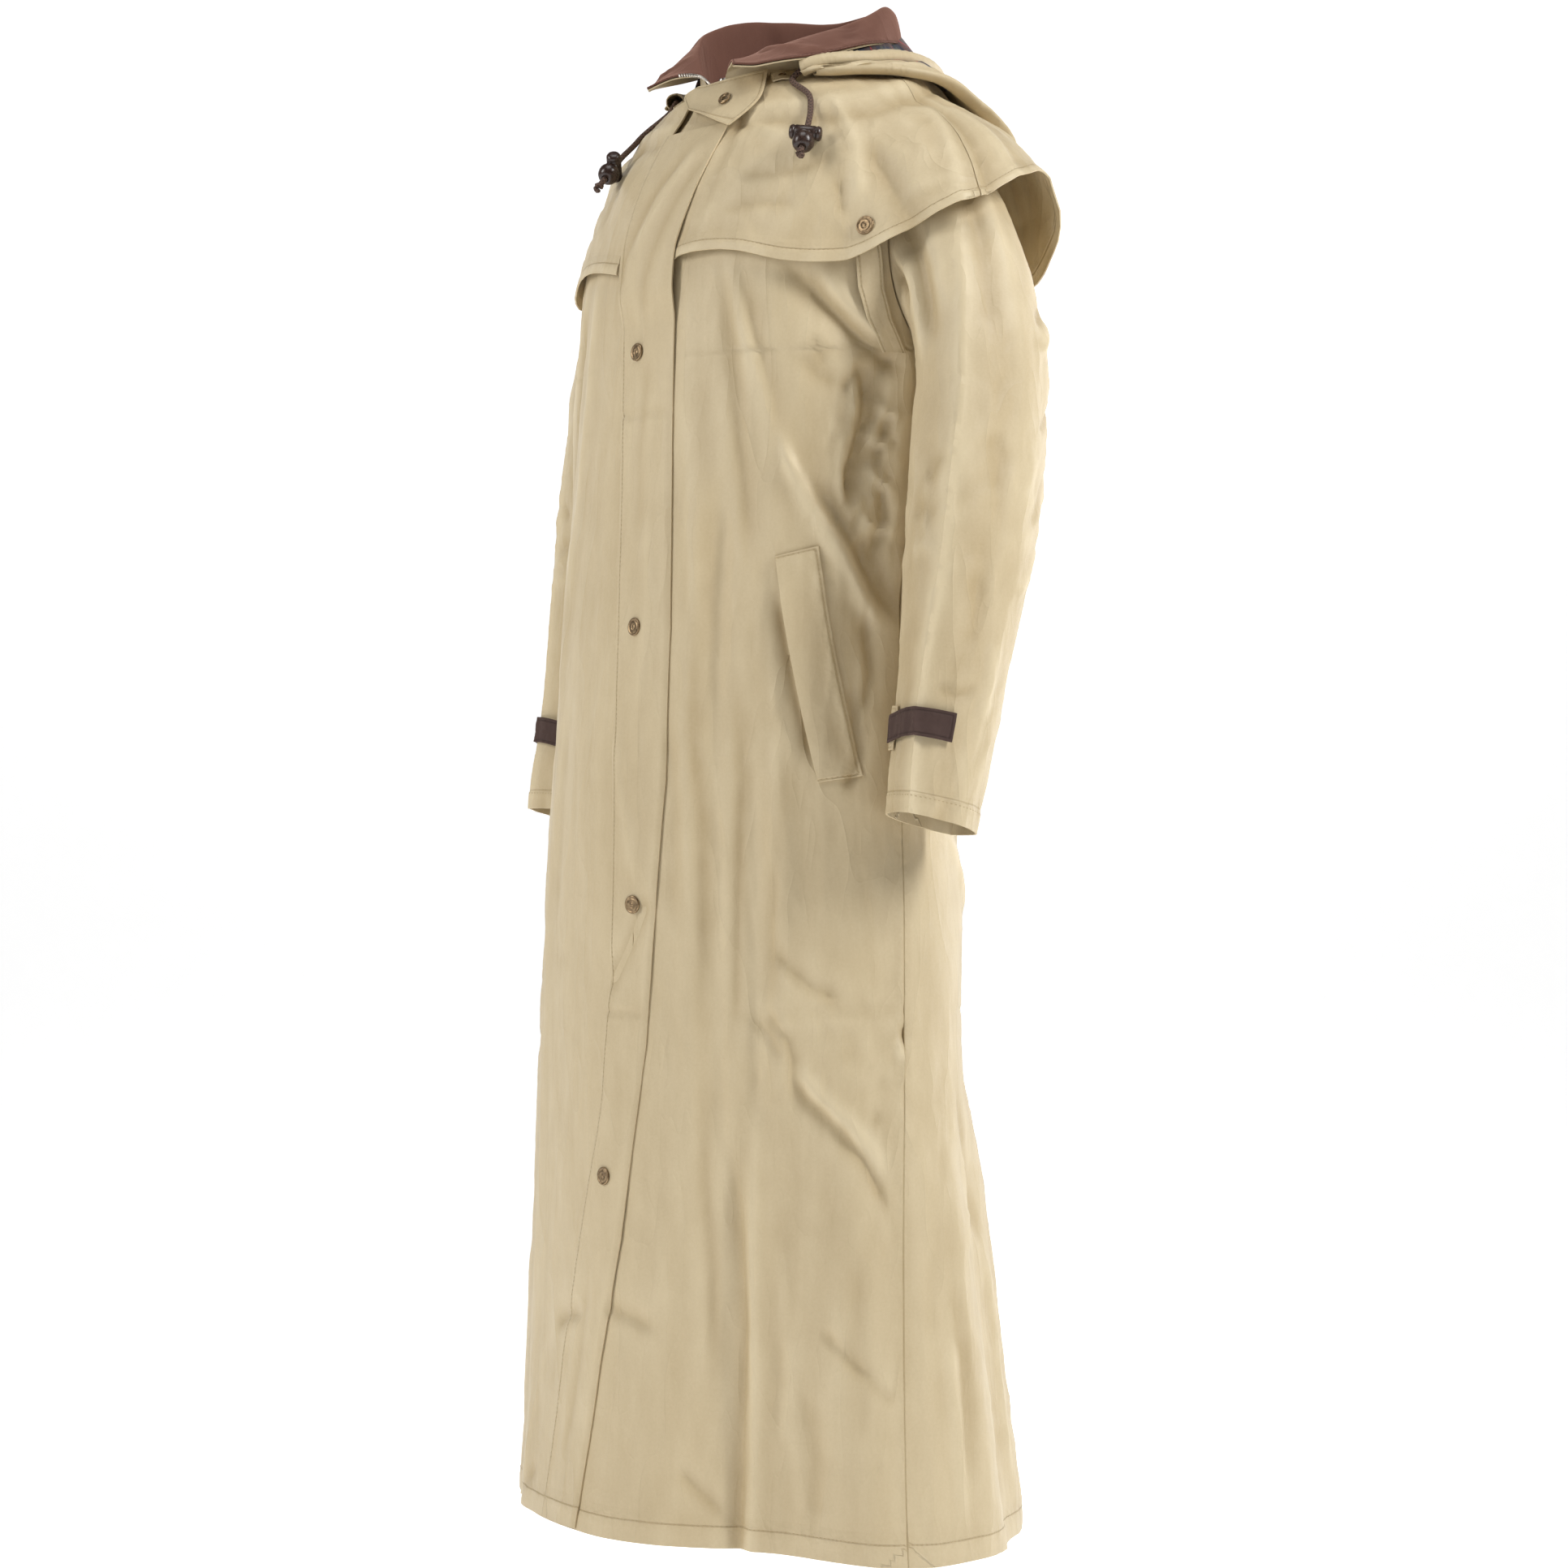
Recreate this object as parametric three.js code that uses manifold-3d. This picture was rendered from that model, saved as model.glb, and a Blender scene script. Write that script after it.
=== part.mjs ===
import * as THREE from 'three';
import { mergeVertices } from 'three/addons/utils/BufferGeometryUtils.js';
import Module from 'manifold-3d';

const wasm = await Module();
wasm.setup();

// driving dimensions, mm and degrees
const wallMm = 1.6;
const hemZ = -1240;
const armholeMid = { deg: 101, z: -160 };
const armholeHalf = { deg: 23, z: 100 };
const capeLift = 5.2;
const snapRadius = 7.6;
const snapHeight = 2.4;
const cordRadius = 2.5;
const channelRadius = 7;

// body sections: z, half width on wearer's left and right, reach to front and back, centre Y,
// squareness of the front corners left and right, and how far the section tips down at the front
const bodyRings = [
  [0, 78, 78, 84, 72, -12, 0, 0, 20],
  [-14, 112, 112, 96, 84, -14, 0, 0, 17],
  [-34, 150, 150, 101, 98, -18, 0, 0, 12],
  [-64, 186, 186, 113, 112, -24, 0, 0, 8],
  [-110, 204, 204, 127, 122, -32, 0, 0, 4],
  [-170, 211, 211, 138, 128, -40, 0, 0, 0],
  [-240, 212, 212, 140, 130, -45, 0, 0, 0],
  [-390, 207, 207, 145, 134, -52, 0.02, 0, 0],
  [-500, 208, 208, 149, 136, -57, 0.04, 0, 0],
  [-605, 216, 216, 152, 142, -60, 0.06, 0, 0],
  [-710, 230, 228, 152, 148, -64, 0.08, 0, 0],
  [-850, 242, 233, 152, 144, -68, 0.12, 0, 0],
  [-1000, 256, 238, 152, 172, -72, 0.18, 0, 0],
  [-1140, 270, 244, 154, 194, -74, 0.23, 0, 0],
  [-1240, 282, 250, 160, 205, -75, 0.26, 0, 0],
];

// soft folds of the body: angle, half width, outward height, top z, bottom z, lean in degrees
const bodyFolds = [
  [28, 4, 4.5, -330, -930, 0],
  [34.5, 3.6, -5, -330, -980, 0],
  [45.5, 4, -6, -560, -920, 0],
  [52.5, 4, 4, -560, -930, 0],
  [39, 4, -5, -900, -1300, 0],
  [46, 5, 5, -920, -1300, 0],
  [64, 6, 5, -330, -520, 22],
  [74, 9, -8, -230, -560, 6],
  [70, 7, 4, -800, -1300, 4],
  [80, 5, -5, -860, -1300, 4],
  [104, 8, 6, -900, -1300, 8],
  [118, 7, -6, -880, -1300, 6],
  [134, 9, 7, -840, -1300, 4],
  [152, 8, -6, -760, -1300, 2],
  [170, 9, 5, -700, -1300, 0],
  [-172, 8, -5, -720, -1300, -2],
  [-156, 9, 6, -780, -1300, -4],
  [-138, 8, -6, -820, -1300, -4],
  [-120, 8, 6, -860, -1300, -6],
  [-104, 6, -5, -900, -1300, -6],
  [-84, 7, 5, -860, -1300, -2],
  [-70, 6, -5, -560, -1300, 0],
  [-56, 6, 5, -520, -1300, 0],
  [-43, 5, -5, -420, -1300, 0],
  [-30, 5, 4, -360, -1300, 0],
  [-74, 9, -7, -230, -560, -6],
];

// storm flap: z, angle of the sewn side, angle of the free edge
const flapTable = [
  [-44, -7, 21], [-80, -6.4, 18.4], [-115, -6, 16.8], [-164, -5, 15.4], [-255, -2.4, 16.8],
  [-368, 0.6, 18.9], [-484, 3.2, 21.1], [-610, 4.6, 20.8], [-714, 4.9, 18.1], [-773, 4.9, 16.9],
  [-830, 3.6, 15.6], [-906, 1.2, 12.4], [-992, -4.2, 9.2], [-1098, -10.4, 3.8], [-1238, -16, -1.8],
];

// cape: angle, z of the lower edge, sideways and backward stand-off over the arm
const capeTable = [
  [0, -186, 0, 0], [20, -174, 0, 0], [32, -175, 0, 0], [48, -187, 0, 0], [64, -189, 4, -2],
  [71, -182, 16, -8], [78, -168, 36, -13], [86, -150, 62, -10], [93, -141, 76, -3],
  [101, -128, 86, 8], [110, -117, 92, 22], [118, -113, 93, 36], [122, -128, 91, 40],
  [126, -166, 82, 41], [131, -190, 68, 39], [145, -204, 34, 29], [162, -212, 10, 17],
  [180, -215, 0, 13],
];
const capeSpread = [
  [0, 0], [-20, 0], [-43, 0.06], [-56, 0.2], [-74, 0.42], [-87, 0.55], [-101, 0.66],
  [-112, 0.74], [-141, 0.9], [-190, 1], [-240, 1.02],
];
const rightLift = [
  [60, 0], [72, 12], [84, 34], [92, 40], [101, 34], [112, 18], [121, 6], [130, 0],
];

// sleeve: z, centre X and Y, half width across and along
const sleeveTable = [
  [-290, 262, -14, 46, 58], [-330, 262, -18, 47, 59], [-376, 263, -22, 47, 59],
  [-438, 264, -31, 45, 55], [-517, 266, -46, 41, 46], [-566, 267, -55, 39, 43],
  [-600, 268, -63, 37, 41], [-646, 269, -72, 35, 39],
];

// collar, one half: seam at the neck, fold at the top, middle of the fall, outer edge
const collarRows = [
  [[9, -95, -17], [20, -101, -4], [44, -113, -1], [66, -127, -9]],
  [[27, -89, -15.5], [36, -93, 2], [60, -104, 1], [83, -115, -6]],
  [[45, -80, -13.5], [52, -81, 8], [74, -91, 6], [98, -97, -2]],
  [[67, -53, -7.5], [74, -57, 18], [90, -61, 15], [108, -65, 4]],
  [[77.5, -12, 2.4], [83, -13, 35], [97, -15, 29], [110, -16, 18]],
  [[67, 24, 12.4], [69, 25, 53], [78, 31, 47], [82, 36, 28]],
  [[39, 50, 19.4], [38, 50, 60], [43, 59, 55], [46, 64, 33]],
  [[0, 60, 22.4], [0, 60, 62], [0, 69, 57], [0, 74, 35]],
];

// hood lying down the back, one half: angle at the neck and at the foot, z of the foot,
// depth of the bag, its bulge and its height over the cape
const hoodTable = [
  [58, 58, -15, 9, 1, 2.6], [65, 65, -18, 10, 1, 3], [76, 77, -20, 11, 2, 3.4],
  [90, 95, -25, 12, 2, 4], [108, 122, -40, 14, 3, 8], [129, 146, -88, 18, 5, 11],
  [153, 161, -138, 22, 8, 8.5], [180, 180, -168, 26, 12, 6],
];

// rim of the hood, one half, centre of the channel
const rimPath = [
  [97, -77, -12], [110, -66.6, -5.6], [119.8, -50, 1.5], [121, -26, 7.4], [115, 4, 14.6],
  [105, 38, 17.6], [82.5, 72.5, 15], [48, 102, 5], [0, 118, -3],
];

// how much higher the right side of the collar stands, along the rows of its table
const collarRaise = [0, 12, 20, 28, 27, 11, 0, 0];

// drawcords: points at the channel's end, then angle, share of the cape and height over it
const cordStart = [[102, -72, -10.6], [97, -77, -14], [94, -81.5, -18.5], [96, -86, -25]];
const cordLeft = [[50, 0.19, 5], [49.5, 0.26, 5]];
const cordRight = [[-44, 0.19, 5.5], [-37, 0.26, 6]];
const toggleLeft = { from: [49, 0.31, 8], at: [48, 0.43, 13.5], tail: 19 };
const toggleRight = { from: [-31, 0.31, 9], at: [-25, 0.43, 14], tail: 25 };

// throat end of the storm flap, turned outward: rows from the top down of angle, z, height
const throatRows = [
  [[-14, 0, 9], [2, -4, 9], [18, -3, 9.4], [40, 0, 8]],
  [[-9, -12, 10], [6, -17, 10.4], [22, -18, 10.2], [37, -14, 8]],
  [[-2, -24, 11.2], [9, -29, 11.6], [20, -34, 11.8], [31, -34, 10]],
  [[2, -32, 13], [9, -38, 14], [16, -46, 15], [23, -55, 16]],
];

const snapPlaces = [[4, -251], [10, -483], [11.7, -714], [4.4, -941]];
const pocketCorners = [[50.2, -428], [62.4, -420], [76.3, -607], [63.5, -613]];
const strapEdges = [[-150, 72], [-180, 75.4], [-210, 76.8], [-235, 80], [-262, 86.5]];

const rad = Math.PI / 180;
const clamp = (x, a, b) => Math.min(b, Math.max(a, x));
const mix = (a, b, s) => a + (b - a) * s;
const ease = (a, b, x) => {
  const s = clamp((x - a) / (b - a), 0, 1);
  return s * s * (3 - 2 * s);
};

// smooth row of a table whose first column steps one way
function tableRow(table, x) {
  const up = table[1][0] > table[0][0] ? 1 : -1;
  const last = table.length - 1;
  const at = clamp(x * up, table[0][0] * up, table[last][0] * up) * up;
  let i = 0;
  while (i < last - 1 && (at - table[i + 1][0]) * up >= 0) i += 1;
  const p1 = table[i];
  const p2 = table[i + 1];
  const p0 = table[Math.max(0, i - 1)];
  const p3 = table[Math.min(last, i + 2)];
  const h = p2[0] - p1[0];
  const s = (at - p1[0]) / h;
  return p1.map((v, k) => {
    const m1 = (i > 0 ? (p2[k] - p0[k]) / (p2[0] - p0[0]) : (p2[k] - v) / h) * h;
    const m2 = (i < last - 1 ? (p3[k] - v) / (p3[0] - p1[0]) : (p2[k] - v) / h) * h;
    const s2 = s * s;
    const s3 = s2 * s;
    return (2 * s3 - 3 * s2 + 1) * v + (s3 - 2 * s2 + s) * m1
      + (3 * s2 - 2 * s3) * p2[k] + (s3 - s2) * m2;
  });
}

const straightRow = (table, x) => {
  const up = table[1][0] > table[0][0] ? 1 : -1;
  const last = table.length - 1;
  const at = clamp(x * up, table[0][0] * up, table[last][0] * up) * up;
  let i = 0;
  while (i < last - 1 && (at - table[i + 1][0]) * up >= 0) i += 1;
  const s = (at - table[i][0]) / (table[i + 1][0] - table[i][0]);
  return table[i].map((v, k) => mix(v, table[i + 1][k], s));
};

// smooth point on a list of points, s from 0 to 1
function along(points, s) {
  const last = points.length - 1;
  const x = clamp(s, 0, 1) * last;
  const i = Math.min(last - 1, Math.floor(x));
  const f = x - i;
  const p = [points[Math.max(0, i - 1)], points[i], points[i + 1], points[Math.min(last, i + 2)]];
  return p[1].map((v, k) => 0.5 * ((2 * v) + (p[2][k] - p[0][k]) * f
    + (2 * p[0][k] - 5 * v + 4 * p[2][k] - p[3][k]) * f * f
    + (3 * v - p[0][k] - 3 * p[2][k] + p[3][k]) * f * f * f));
}

function foldHeight(deg, z) {
  let sum = 0;
  for (const [mid, half, high, top, bottom, lean] of bodyFolds) {
    const span = clamp((top - z) / (top - bottom), 0, 1);
    const at = mid + lean * span;
    let gap = Math.abs(deg - at) % 360;
    gap = Math.min(gap, 360 - gap);
    const fade = ease(top, top - 90, z) * (1 - ease(bottom + 90, bottom, z));
    sum += high * fade * Math.exp(-((gap / half) ** 2));
  }
  return sum;
}

function bodyPoint(deg, z, off = 0) {
  const g = tableRow(bodyRings, z);
  const t = deg * rad;
  const st = Math.sin(t);
  const ct = Math.cos(t);
  const lift = off + foldHeight(deg, z);
  const side = (st > 0 ? g[1] : g[2]) + lift;
  const deep = (ct > 0 ? g[3] : g[4]) + lift;
  const square = ct > 0 ? (st > 0 ? g[6] : g[7]) : 0;
  const k = 1 - square * Math.sin(2 * t) ** 2;
  const rise = off * ease(-64, 0, z) * 0.75;
  return [side * st * k, g[5] - deep * ct * k, z - g[8] * ct + rise];
}

const sideAngle = (z) => {
  if (z < -260) return straightRow([[-260, 101], [-420, 91], [-700, 88], [-1240, 82]], z)[1];
  if (z > -60) return straightRow([[-60, 101], [0, 94]], z)[1];
  return armholeMid.deg;
};
const armholeReach = (z) => {
  const s = (z - armholeMid.z) / armholeHalf.z;
  return Math.abs(s) < 1 ? armholeHalf.deg * Math.sqrt(1 - s * s) : 0;
};
const openAngle = (z) => straightRow(flapTable, z)[1] + 6.4;

// unit normal of a surface fn(u, v)
function normalAt(fn, u, v, us, vs) {
  const du = Math.abs(us[us.length - 1] - us[0]) * 0.002;
  const dv = Math.abs(vs[vs.length - 1] - vs[0]) * 0.002;
  const across = new THREE.Vector3(...fn(u + du, v)).sub(new THREE.Vector3(...fn(u - du, v)));
  const down = new THREE.Vector3(...fn(u, v + dv)).sub(new THREE.Vector3(...fn(u, v - dv)));
  if (us[1] < us[0]) across.negate();
  if (vs[1] < vs[0]) down.negate();
  return across.cross(down).normalize();
}
function moved(fn, us, vs, far) {
  return (u, v) => {
    const n = normalAt(fn, u, v, us, vs);
    return fn(u, v).map((x, k) => x + n.getComponent(k) * far);
  };
}

// closed wall under the surface fn(u, v); wrap joins the u ends, flip turns its inside out
function wallGeometry(us, vs, fn, thick, wrap = false, flip = false) {
  const nu = us.length;
  const nv = vs.length;
  const vec = us.map((u) => vs.map((v) => new THREE.Vector3(...fn(u, v))));
  const deep = moved(fn, us, vs, flip ? thick : -thick);
  const inner = us.map((u) => vs.map((v) => new THREE.Vector3(...deep(u, v))));
  const pos = [];
  const put = (p) => pos.push(p.x, p.y, p.z);
  const quad = (a, b, c, d, turn) => {
    const list = turn ? [a, c, b, a, d, c] : [a, b, c, a, c, d];
    list.forEach(put);
  };
  const cells = wrap ? nu : nu - 1;
  for (let i = 0; i < cells; i += 1) {
    const k = (i + 1) % nu;
    for (let j = 0; j < nv - 1; j += 1) {
      quad(vec[i][j], vec[k][j], vec[k][j + 1], vec[i][j + 1], flip);
      quad(inner[i][j], inner[k][j], inner[k][j + 1], inner[i][j + 1], !flip);
    }
    quad(vec[i][0], inner[i][0], inner[k][0], vec[k][0], flip);
    quad(vec[k][nv - 1], inner[k][nv - 1], inner[i][nv - 1], vec[i][nv - 1], flip);
  }
  if (!wrap) {
    for (let j = 0; j < nv - 1; j += 1) {
      quad(vec[0][j + 1], inner[0][j + 1], inner[0][j], vec[0][j], flip);
      quad(vec[nu - 1][j], inner[nu - 1][j], inner[nu - 1][j + 1], vec[nu - 1][j + 1], flip);
    }
  }
  const geo = new THREE.BufferGeometry();
  geo.setAttribute('position', new THREE.Float32BufferAttribute(pos, 3));
  return mergeVertices(geo, 1e-4);
}

const steps = (n) => Array.from({ length: n + 1 }, (_, i) => i / n);

const group = new THREE.Group();
const colours = {
  shell: 0xcbbd96, collar: 0x7d5546, tab: 0x463737, check: 0x3a3a44, cord: 0x4a372d,
  snap: 0x8c7355, toggle: 0x2e2521, zip: 0x9a958c,
};
function add(name, geometry, slot) {
  const rough = { snap: 0.4, zip: 0.35, toggle: 0.35 }[slot] ?? 0.8;
  const mat = new THREE.MeshStandardMaterial({ color: colours[slot], roughness: rough });
  geometry.computeVertexNormals();
  const mesh = new THREE.Mesh(geometry, mat);
  mesh.name = name;
  group.add(mesh);
}

function toManifold(geometry) {
  const g = geometry.clone();
  g.deleteAttribute('normal');
  g.deleteAttribute('uv');
  const m = mergeVertices(g, 1e-4);
  return new wasm.Manifold(new wasm.Mesh({
    numProp: 3,
    vertProperties: new Float32Array(m.attributes.position.array),
    triVerts: new Uint32Array(m.index.array),
  }));
}
function fromManifold(solid) {
  const m = solid.getMesh();
  const geo = new THREE.BufferGeometry();
  geo.setAttribute('position', new THREE.Float32BufferAttribute(m.vertProperties, 3));
  geo.setIndex(new THREE.Uint32BufferAttribute(m.triVerts, 1));
  return geo;
}

// fronts and back
const armRows = [1, 2, 3, 4, 5, 6].map((k) => -160 + 100 * Math.cos((k * Math.PI) / 7));
const lowRows = [-260, -300, -350, -410, -480, -560, -640, -725, -810, -895, -980, -1065, -1155,
  hemZ];
const panelRows = [0, -14, -34, -60, ...armRows, ...lowRows];
const panelColumns = [0, 0.16, 0.25, 0.33, 0.41, 0.49, 0.57, 0.66, 0.75, 0.84, 0.92, 1];

for (const side of [1, -1]) {
  const name = side > 0 ? 'left' : 'right';
  add(`front_${name}`, wallGeometry(panelColumns, panelRows, (u, z) => {
    const outer = sideAngle(z) - armholeReach(z) - 0.1;
    const start = openAngle(z) * side + 0.08;
    return bodyPoint(side * mix(start, outer, u), z);
  }, wallMm, false, side > 0), 'shell');
}
add('back', wallGeometry(steps(18), panelRows, (u, z) => {
  const edge = sideAngle(z) + armholeReach(z) + 0.1;
  return bodyPoint(mix(edge, 360 - edge, u), z);
}, wallMm, false, true), 'shell');

// sleeves, lofted from the armhole round the underarm line and down to the cuff
function sleevePoint(psi, z, off = 0) {
  const g = tableRow(sleeveTable, z);
  const cx = Math.cos(psi);
  const sx = Math.sin(psi);
  const crease = 1 + 0.07 * Math.exp(-(((psi - 35 * rad) / 0.34) ** 2)) * ease(-250, -330, z);
  const slant = 10 * ease(-560, -646, z) * sx;
  return [g[1] + (g[3] * crease + off) * cx, g[2] - (g[4] * crease + off) * sx, z + slant];
}
function capPoint(psi, s) {
  const c = Math.cos(psi);
  const t = armholeMid.deg - (armholeHalf.deg - 0.25) * Math.sin(psi);
  const p0 = bodyPoint(t, armholeMid.z + (armholeHalf.z - 0.8) * c, 0.7);
  const p3 = sleevePoint(psi, -290);
  const h0 = 6 + 32 * (1 + c);
  const h1 = 8 + 46 * (1 + c);
  const p1 = [p0[0] + h0, p0[1], p0[2] - 0.6 * h0];
  const p2 = [p3[0], p3[1], p3[2] + h1];
  const r = 1 - s;
  return p0.map((v, k) => r * r * r * v + 3 * r * r * s * p1[k] + 3 * r * s * s * p2[k]
    + s * s * s * p3[k]);
}
const mirrorX = (p) => [-p[0], p[1], p[2]];
const aroundSleeve = Array.from({ length: 18 }, (_, i) => (i / 18) * 2 * Math.PI);
const sleeveDown = [0, 0.16, 0.34, 0.54, 0.77, 1, 1.16, 1.34, 1.5, 1.68, 1.84, 2];
const sleeveAt = (psi, s) => (s <= 1 ? capPoint(psi, s) : sleevePoint(psi, mix(-290, -646, s - 1)));
for (const side of [1, -1]) {
  const fn = (psi, s) => (side > 0 ? sleeveAt(psi, s) : mirrorX(sleeveAt(psi, s)));
  const name = side > 0 ? 'left' : 'right';
  add(`sleeve_${name}`, wallGeometry(aroundSleeve, sleeveDown, fn, wallMm, true, side < 0), 'shell');
}

// cuff tabs on the front and outer side of each cuff
for (const side of [1, -1]) {
  const name = side > 0 ? 'left' : 'right';
  const place = (p) => (side > 0 ? p : mirrorX(p));
  add(`cuff_tab_${name}`, wallGeometry(steps(8), [0, 1], (u, v) => {
    const wave = 4 * Math.sin(u * Math.PI * 1.2 - 0.2);
    return place(sleevePoint(mix(26, 118, u) * rad, -557 - 24 * v + wave, 5));
  }, wallMm, false, side < 0), 'tab');
  add(`cuff_tab_base_${name}`, wallGeometry(steps(6), [0, 1], (u, v) => (
    place(sleevePoint(mix(104, 156, u) * rad, -551 - 38 * v, 2.5))), 1.4, false, side < 0), 'shell');
}

// cape
function capePoint(deg, v, off = 0) {
  const side = deg < 0 ? -1 : 1;
  const abs = Math.abs(deg);
  const row = tableRow(capeTable, abs);
  const lift = side < 0 ? straightRow(rightLift, abs)[1] : 0;
  const z = mix(0, row[1] + lift * 0.45, v);
  const spread = straightRow(capeSpread, z)[1];
  const p = bodyPoint(deg, z, capeLift + off);
  const k = side < 0 ? 1 + 0.05 * ease(70, 85, abs) * (1 - ease(105, 125, abs)) : 1;
  return [p[0] + side * row[2] * spread * k, p[1] + row[3] * spread, p[2] + lift * 0.55 * spread];
}
const capeAround = (deg, v, off = 0) => capePoint(deg > 180 ? deg - 360 : deg, v, off);
const capeDown = [0, 0.08, 0.18, 0.3, 0.46, 0.64, 0.82, 1];
const capeFront = [0, 0.14, 0.28, 0.42, 0.55, 0.67, 0.77, 0.86, 0.93, 1];
const capeSplit = 93;
for (const side of [1, -1]) {
  const name = side > 0 ? 'left' : 'right';
  add(`cape_front_${name}`, wallGeometry(capeFront, capeDown, (u, v) => {
    const z = -180 * v;
    const start = side > 0 ? openAngle(z) + 0.2 : -(straightRow(flapTable, z)[1] - 0.9);
    return capePoint(side * mix(start, capeSplit - 0.08, u), v);
  }, wallMm, false, side > 0), 'shell');
}
const capeBack = [93.08, 99, 105, 111, 117, 121, 124, 127, 132, 140, 150, 160, 170, 180];
const capeBackAll = [...capeBack, ...capeBack.slice(0, -1).reverse().map((a) => 360 - a)];
add('cape_back', wallGeometry(capeBackAll, capeDown, capeAround, wallMm, false, true), 'shell');

// cape straps from under the cape to the underarm
for (const side of [1, -1]) {
  add(`cape_strap_${side > 0 ? 'left' : 'right'}`, wallGeometry([0, 0.5, 1], steps(6), (u, v) => {
    const z = mix(-152, -262, v);
    const edge = straightRow(strapEdges, z)[1];
    return bodyPoint(side * (edge - 8 + 8 * u), z, 2.6);
  }, 1.4, false, side > 0), 'shell');
}

// storm flap over the zip, under the turned throat end
const flapRows = [-50, -80, -115, -150, -185, -210, -240, -300, -368, -425, -484, -547, -610,
  -665, -714, -773, -830, -868, -906, -950, -992, -1045, -1098, -1168, -1238];
const flapOff = (z) => 3 + 4.8 * ease(-232, -196, z);
add('storm_flap', wallGeometry([0, 0.33, 0.67, 1], flapRows, (u, z) => {
  const [, sewn, free] = straightRow(flapTable, z);
  return bodyPoint(mix(sewn, free, u), z, flapOff(z));
}, wallMm, false, true), 'shell');

const patch = (rows, u, v) => along(rows.map((row) => along(row, u)), v);
const throatPoint = (u, v) => bodyPoint(...patch(throatRows, u, v));
add('throat_tab', wallGeometry(steps(6), steps(4), throatPoint, wallMm, false, true), 'shell');

// pocket welts
for (const side of [1, -1]) {
  const [a, b, c, d] = pocketCorners;
  add(`pocket_welt_${side > 0 ? 'left' : 'right'}`, wallGeometry(steps(3), steps(6), (u, v) => {
    const deg = mix(mix(a[0], b[0], u), mix(d[0], c[0], u), v);
    const z = mix(mix(a[1], b[1], u), mix(d[1], c[1], u), v);
    return bodyPoint(side * deg, z, 3.4);
  }, wallMm, false, side > 0), 'shell');
}

// collar: brown top layer folded over, tan layer inside the fold
function collarPoint(u, v) {
  const half = Math.abs(u - 0.5) * 2;
  const rows = collarRows.map((r, i) => {
    const raise = u > 0.5 ? collarRaise[i] : 0;
    return along(r.map((q, k) => [q[0], q[1], q[2] + raise * [0, 1, 0.6, 0.35][k]]), v);
  });
  const p = along(rows, 1 - half);
  return [u < 0.5 ? p[0] : -p[0], p[1], p[2]];
}
const collarAround = steps(20);
const collarDown = [0, 0.18, 0.27, 0.33, 0.39, 0.46, 0.62, 0.8, 1];
add('collar_upper', wallGeometry(collarAround, collarDown, collarPoint, 1.3, false, true), 'collar');
const collarLow = moved(collarPoint, collarAround, collarDown, 2.1);
const collarUnder = (u, v) => {
  const p = collarLow(u, v);
  return [p[0], p[1], p[2] - 1.6 * Math.exp(-(((v - 0.34) / 0.12) ** 2))];
};
add('collar_under', wallGeometry(collarAround, collarDown, collarUnder, 1.1, false, true), 'shell');

// hood bag, its checked lining and the channel round its rim
const rimAll = [...rimPath, ...rimPath.slice(0, -1).reverse().map(mirrorX)];
function hoodPoint(u, v, inset = 0) {
  const half = clamp(1 - Math.abs(u - 0.5) * 2, 0, 1);
  const [neckDeg, footDeg, footZ, deep, bulge, lift] = along(hoodTable, half);
  const foot = footZ * (inset > 0 ? 0.87 : 1);
  const edge = tableRow(capeTable, footDeg)[1];
  const at = (share, over) => new THREE.Vector3(...capePoint(
    mix(neckDeg, footDeg, share), mix(-2, foot, share) / edge,
    over - (lift - 3.25 - 3.2 * half) * (1 - clamp(share, 0, 1)) ** 0.7));
  const rim = new THREE.Vector3(...along(rimPath, half));
  const rimRun = new THREE.Vector3(...along(rimPath, half + 0.01));
  rimRun.sub(new THREE.Vector3(...along(rimPath, half - 0.01))).normalize();
  const outer = at(1, lift + deep);
  const away = outer.clone().sub(rim);
  away.addScaledVector(rimRun, -away.dot(rimRun)).setLength(channelRadius + 3);
  const up = rim.clone().add(away).sub(outer);
  const inward = at(1, lift).sub(outer);
  inward.addScaledVector(up, -inward.dot(up) / up.lengthSq()).setLength(inset);
  const under = inset > 0 ? mix(3.1, 4.4, half) : 0;
  const low = at(1, lift + under);
  const high = outer.clone().add(inward);
  let p = at(v / 0.4, lift + under);
  if (v > 0.4 && v < 0.6) {
    const turn = ((v - 0.4) / 0.2) * Math.PI;
    const out = high.clone().sub(low).multiplyScalar(0.5);
    const run = low.clone().sub(at(0.9, lift + under)).setLength(out.length());
    p = low.clone().add(out).addScaledVector(out, -Math.cos(turn));
    p.addScaledVector(run, Math.sin(turn));
  } else if (v >= 0.6) {
    const s = (v - 0.6) / 0.4;
    p = high.clone().addScaledVector(up, s);
    p.add(new THREE.Vector3(p.x, p.y, 0).setLength(bulge * Math.sin(Math.PI * s)));
  }
  return [u < 0.5 ? p.x : -p.x, p.y, p.z];
}
const hoodAround = steps(24);
const hoodDown = [0, 0.2, 0.4, 0.45, 0.5, 0.55, 0.6, 0.73, 0.87, 1];
add('hood_shell', wallGeometry(hoodAround, hoodDown, hoodPoint, 1.2, false, false), 'shell');
const liningAround = [0.056, ...hoodAround.slice(2, -2), 0.944];
const liningDown = [0.04, 0.14, 0.24, 0.32, 0.4, 0.45, 0.5, 0.55, 0.6, 0.64, 0.68];
const hoodInside = (u, v) => {
  const half = Math.min(u, 1 - u);
  return hoodPoint(u, v > 0.6 ? mix(0.6, v, 12 * half) : v, 4.2 + 6 * half);
};
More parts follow.
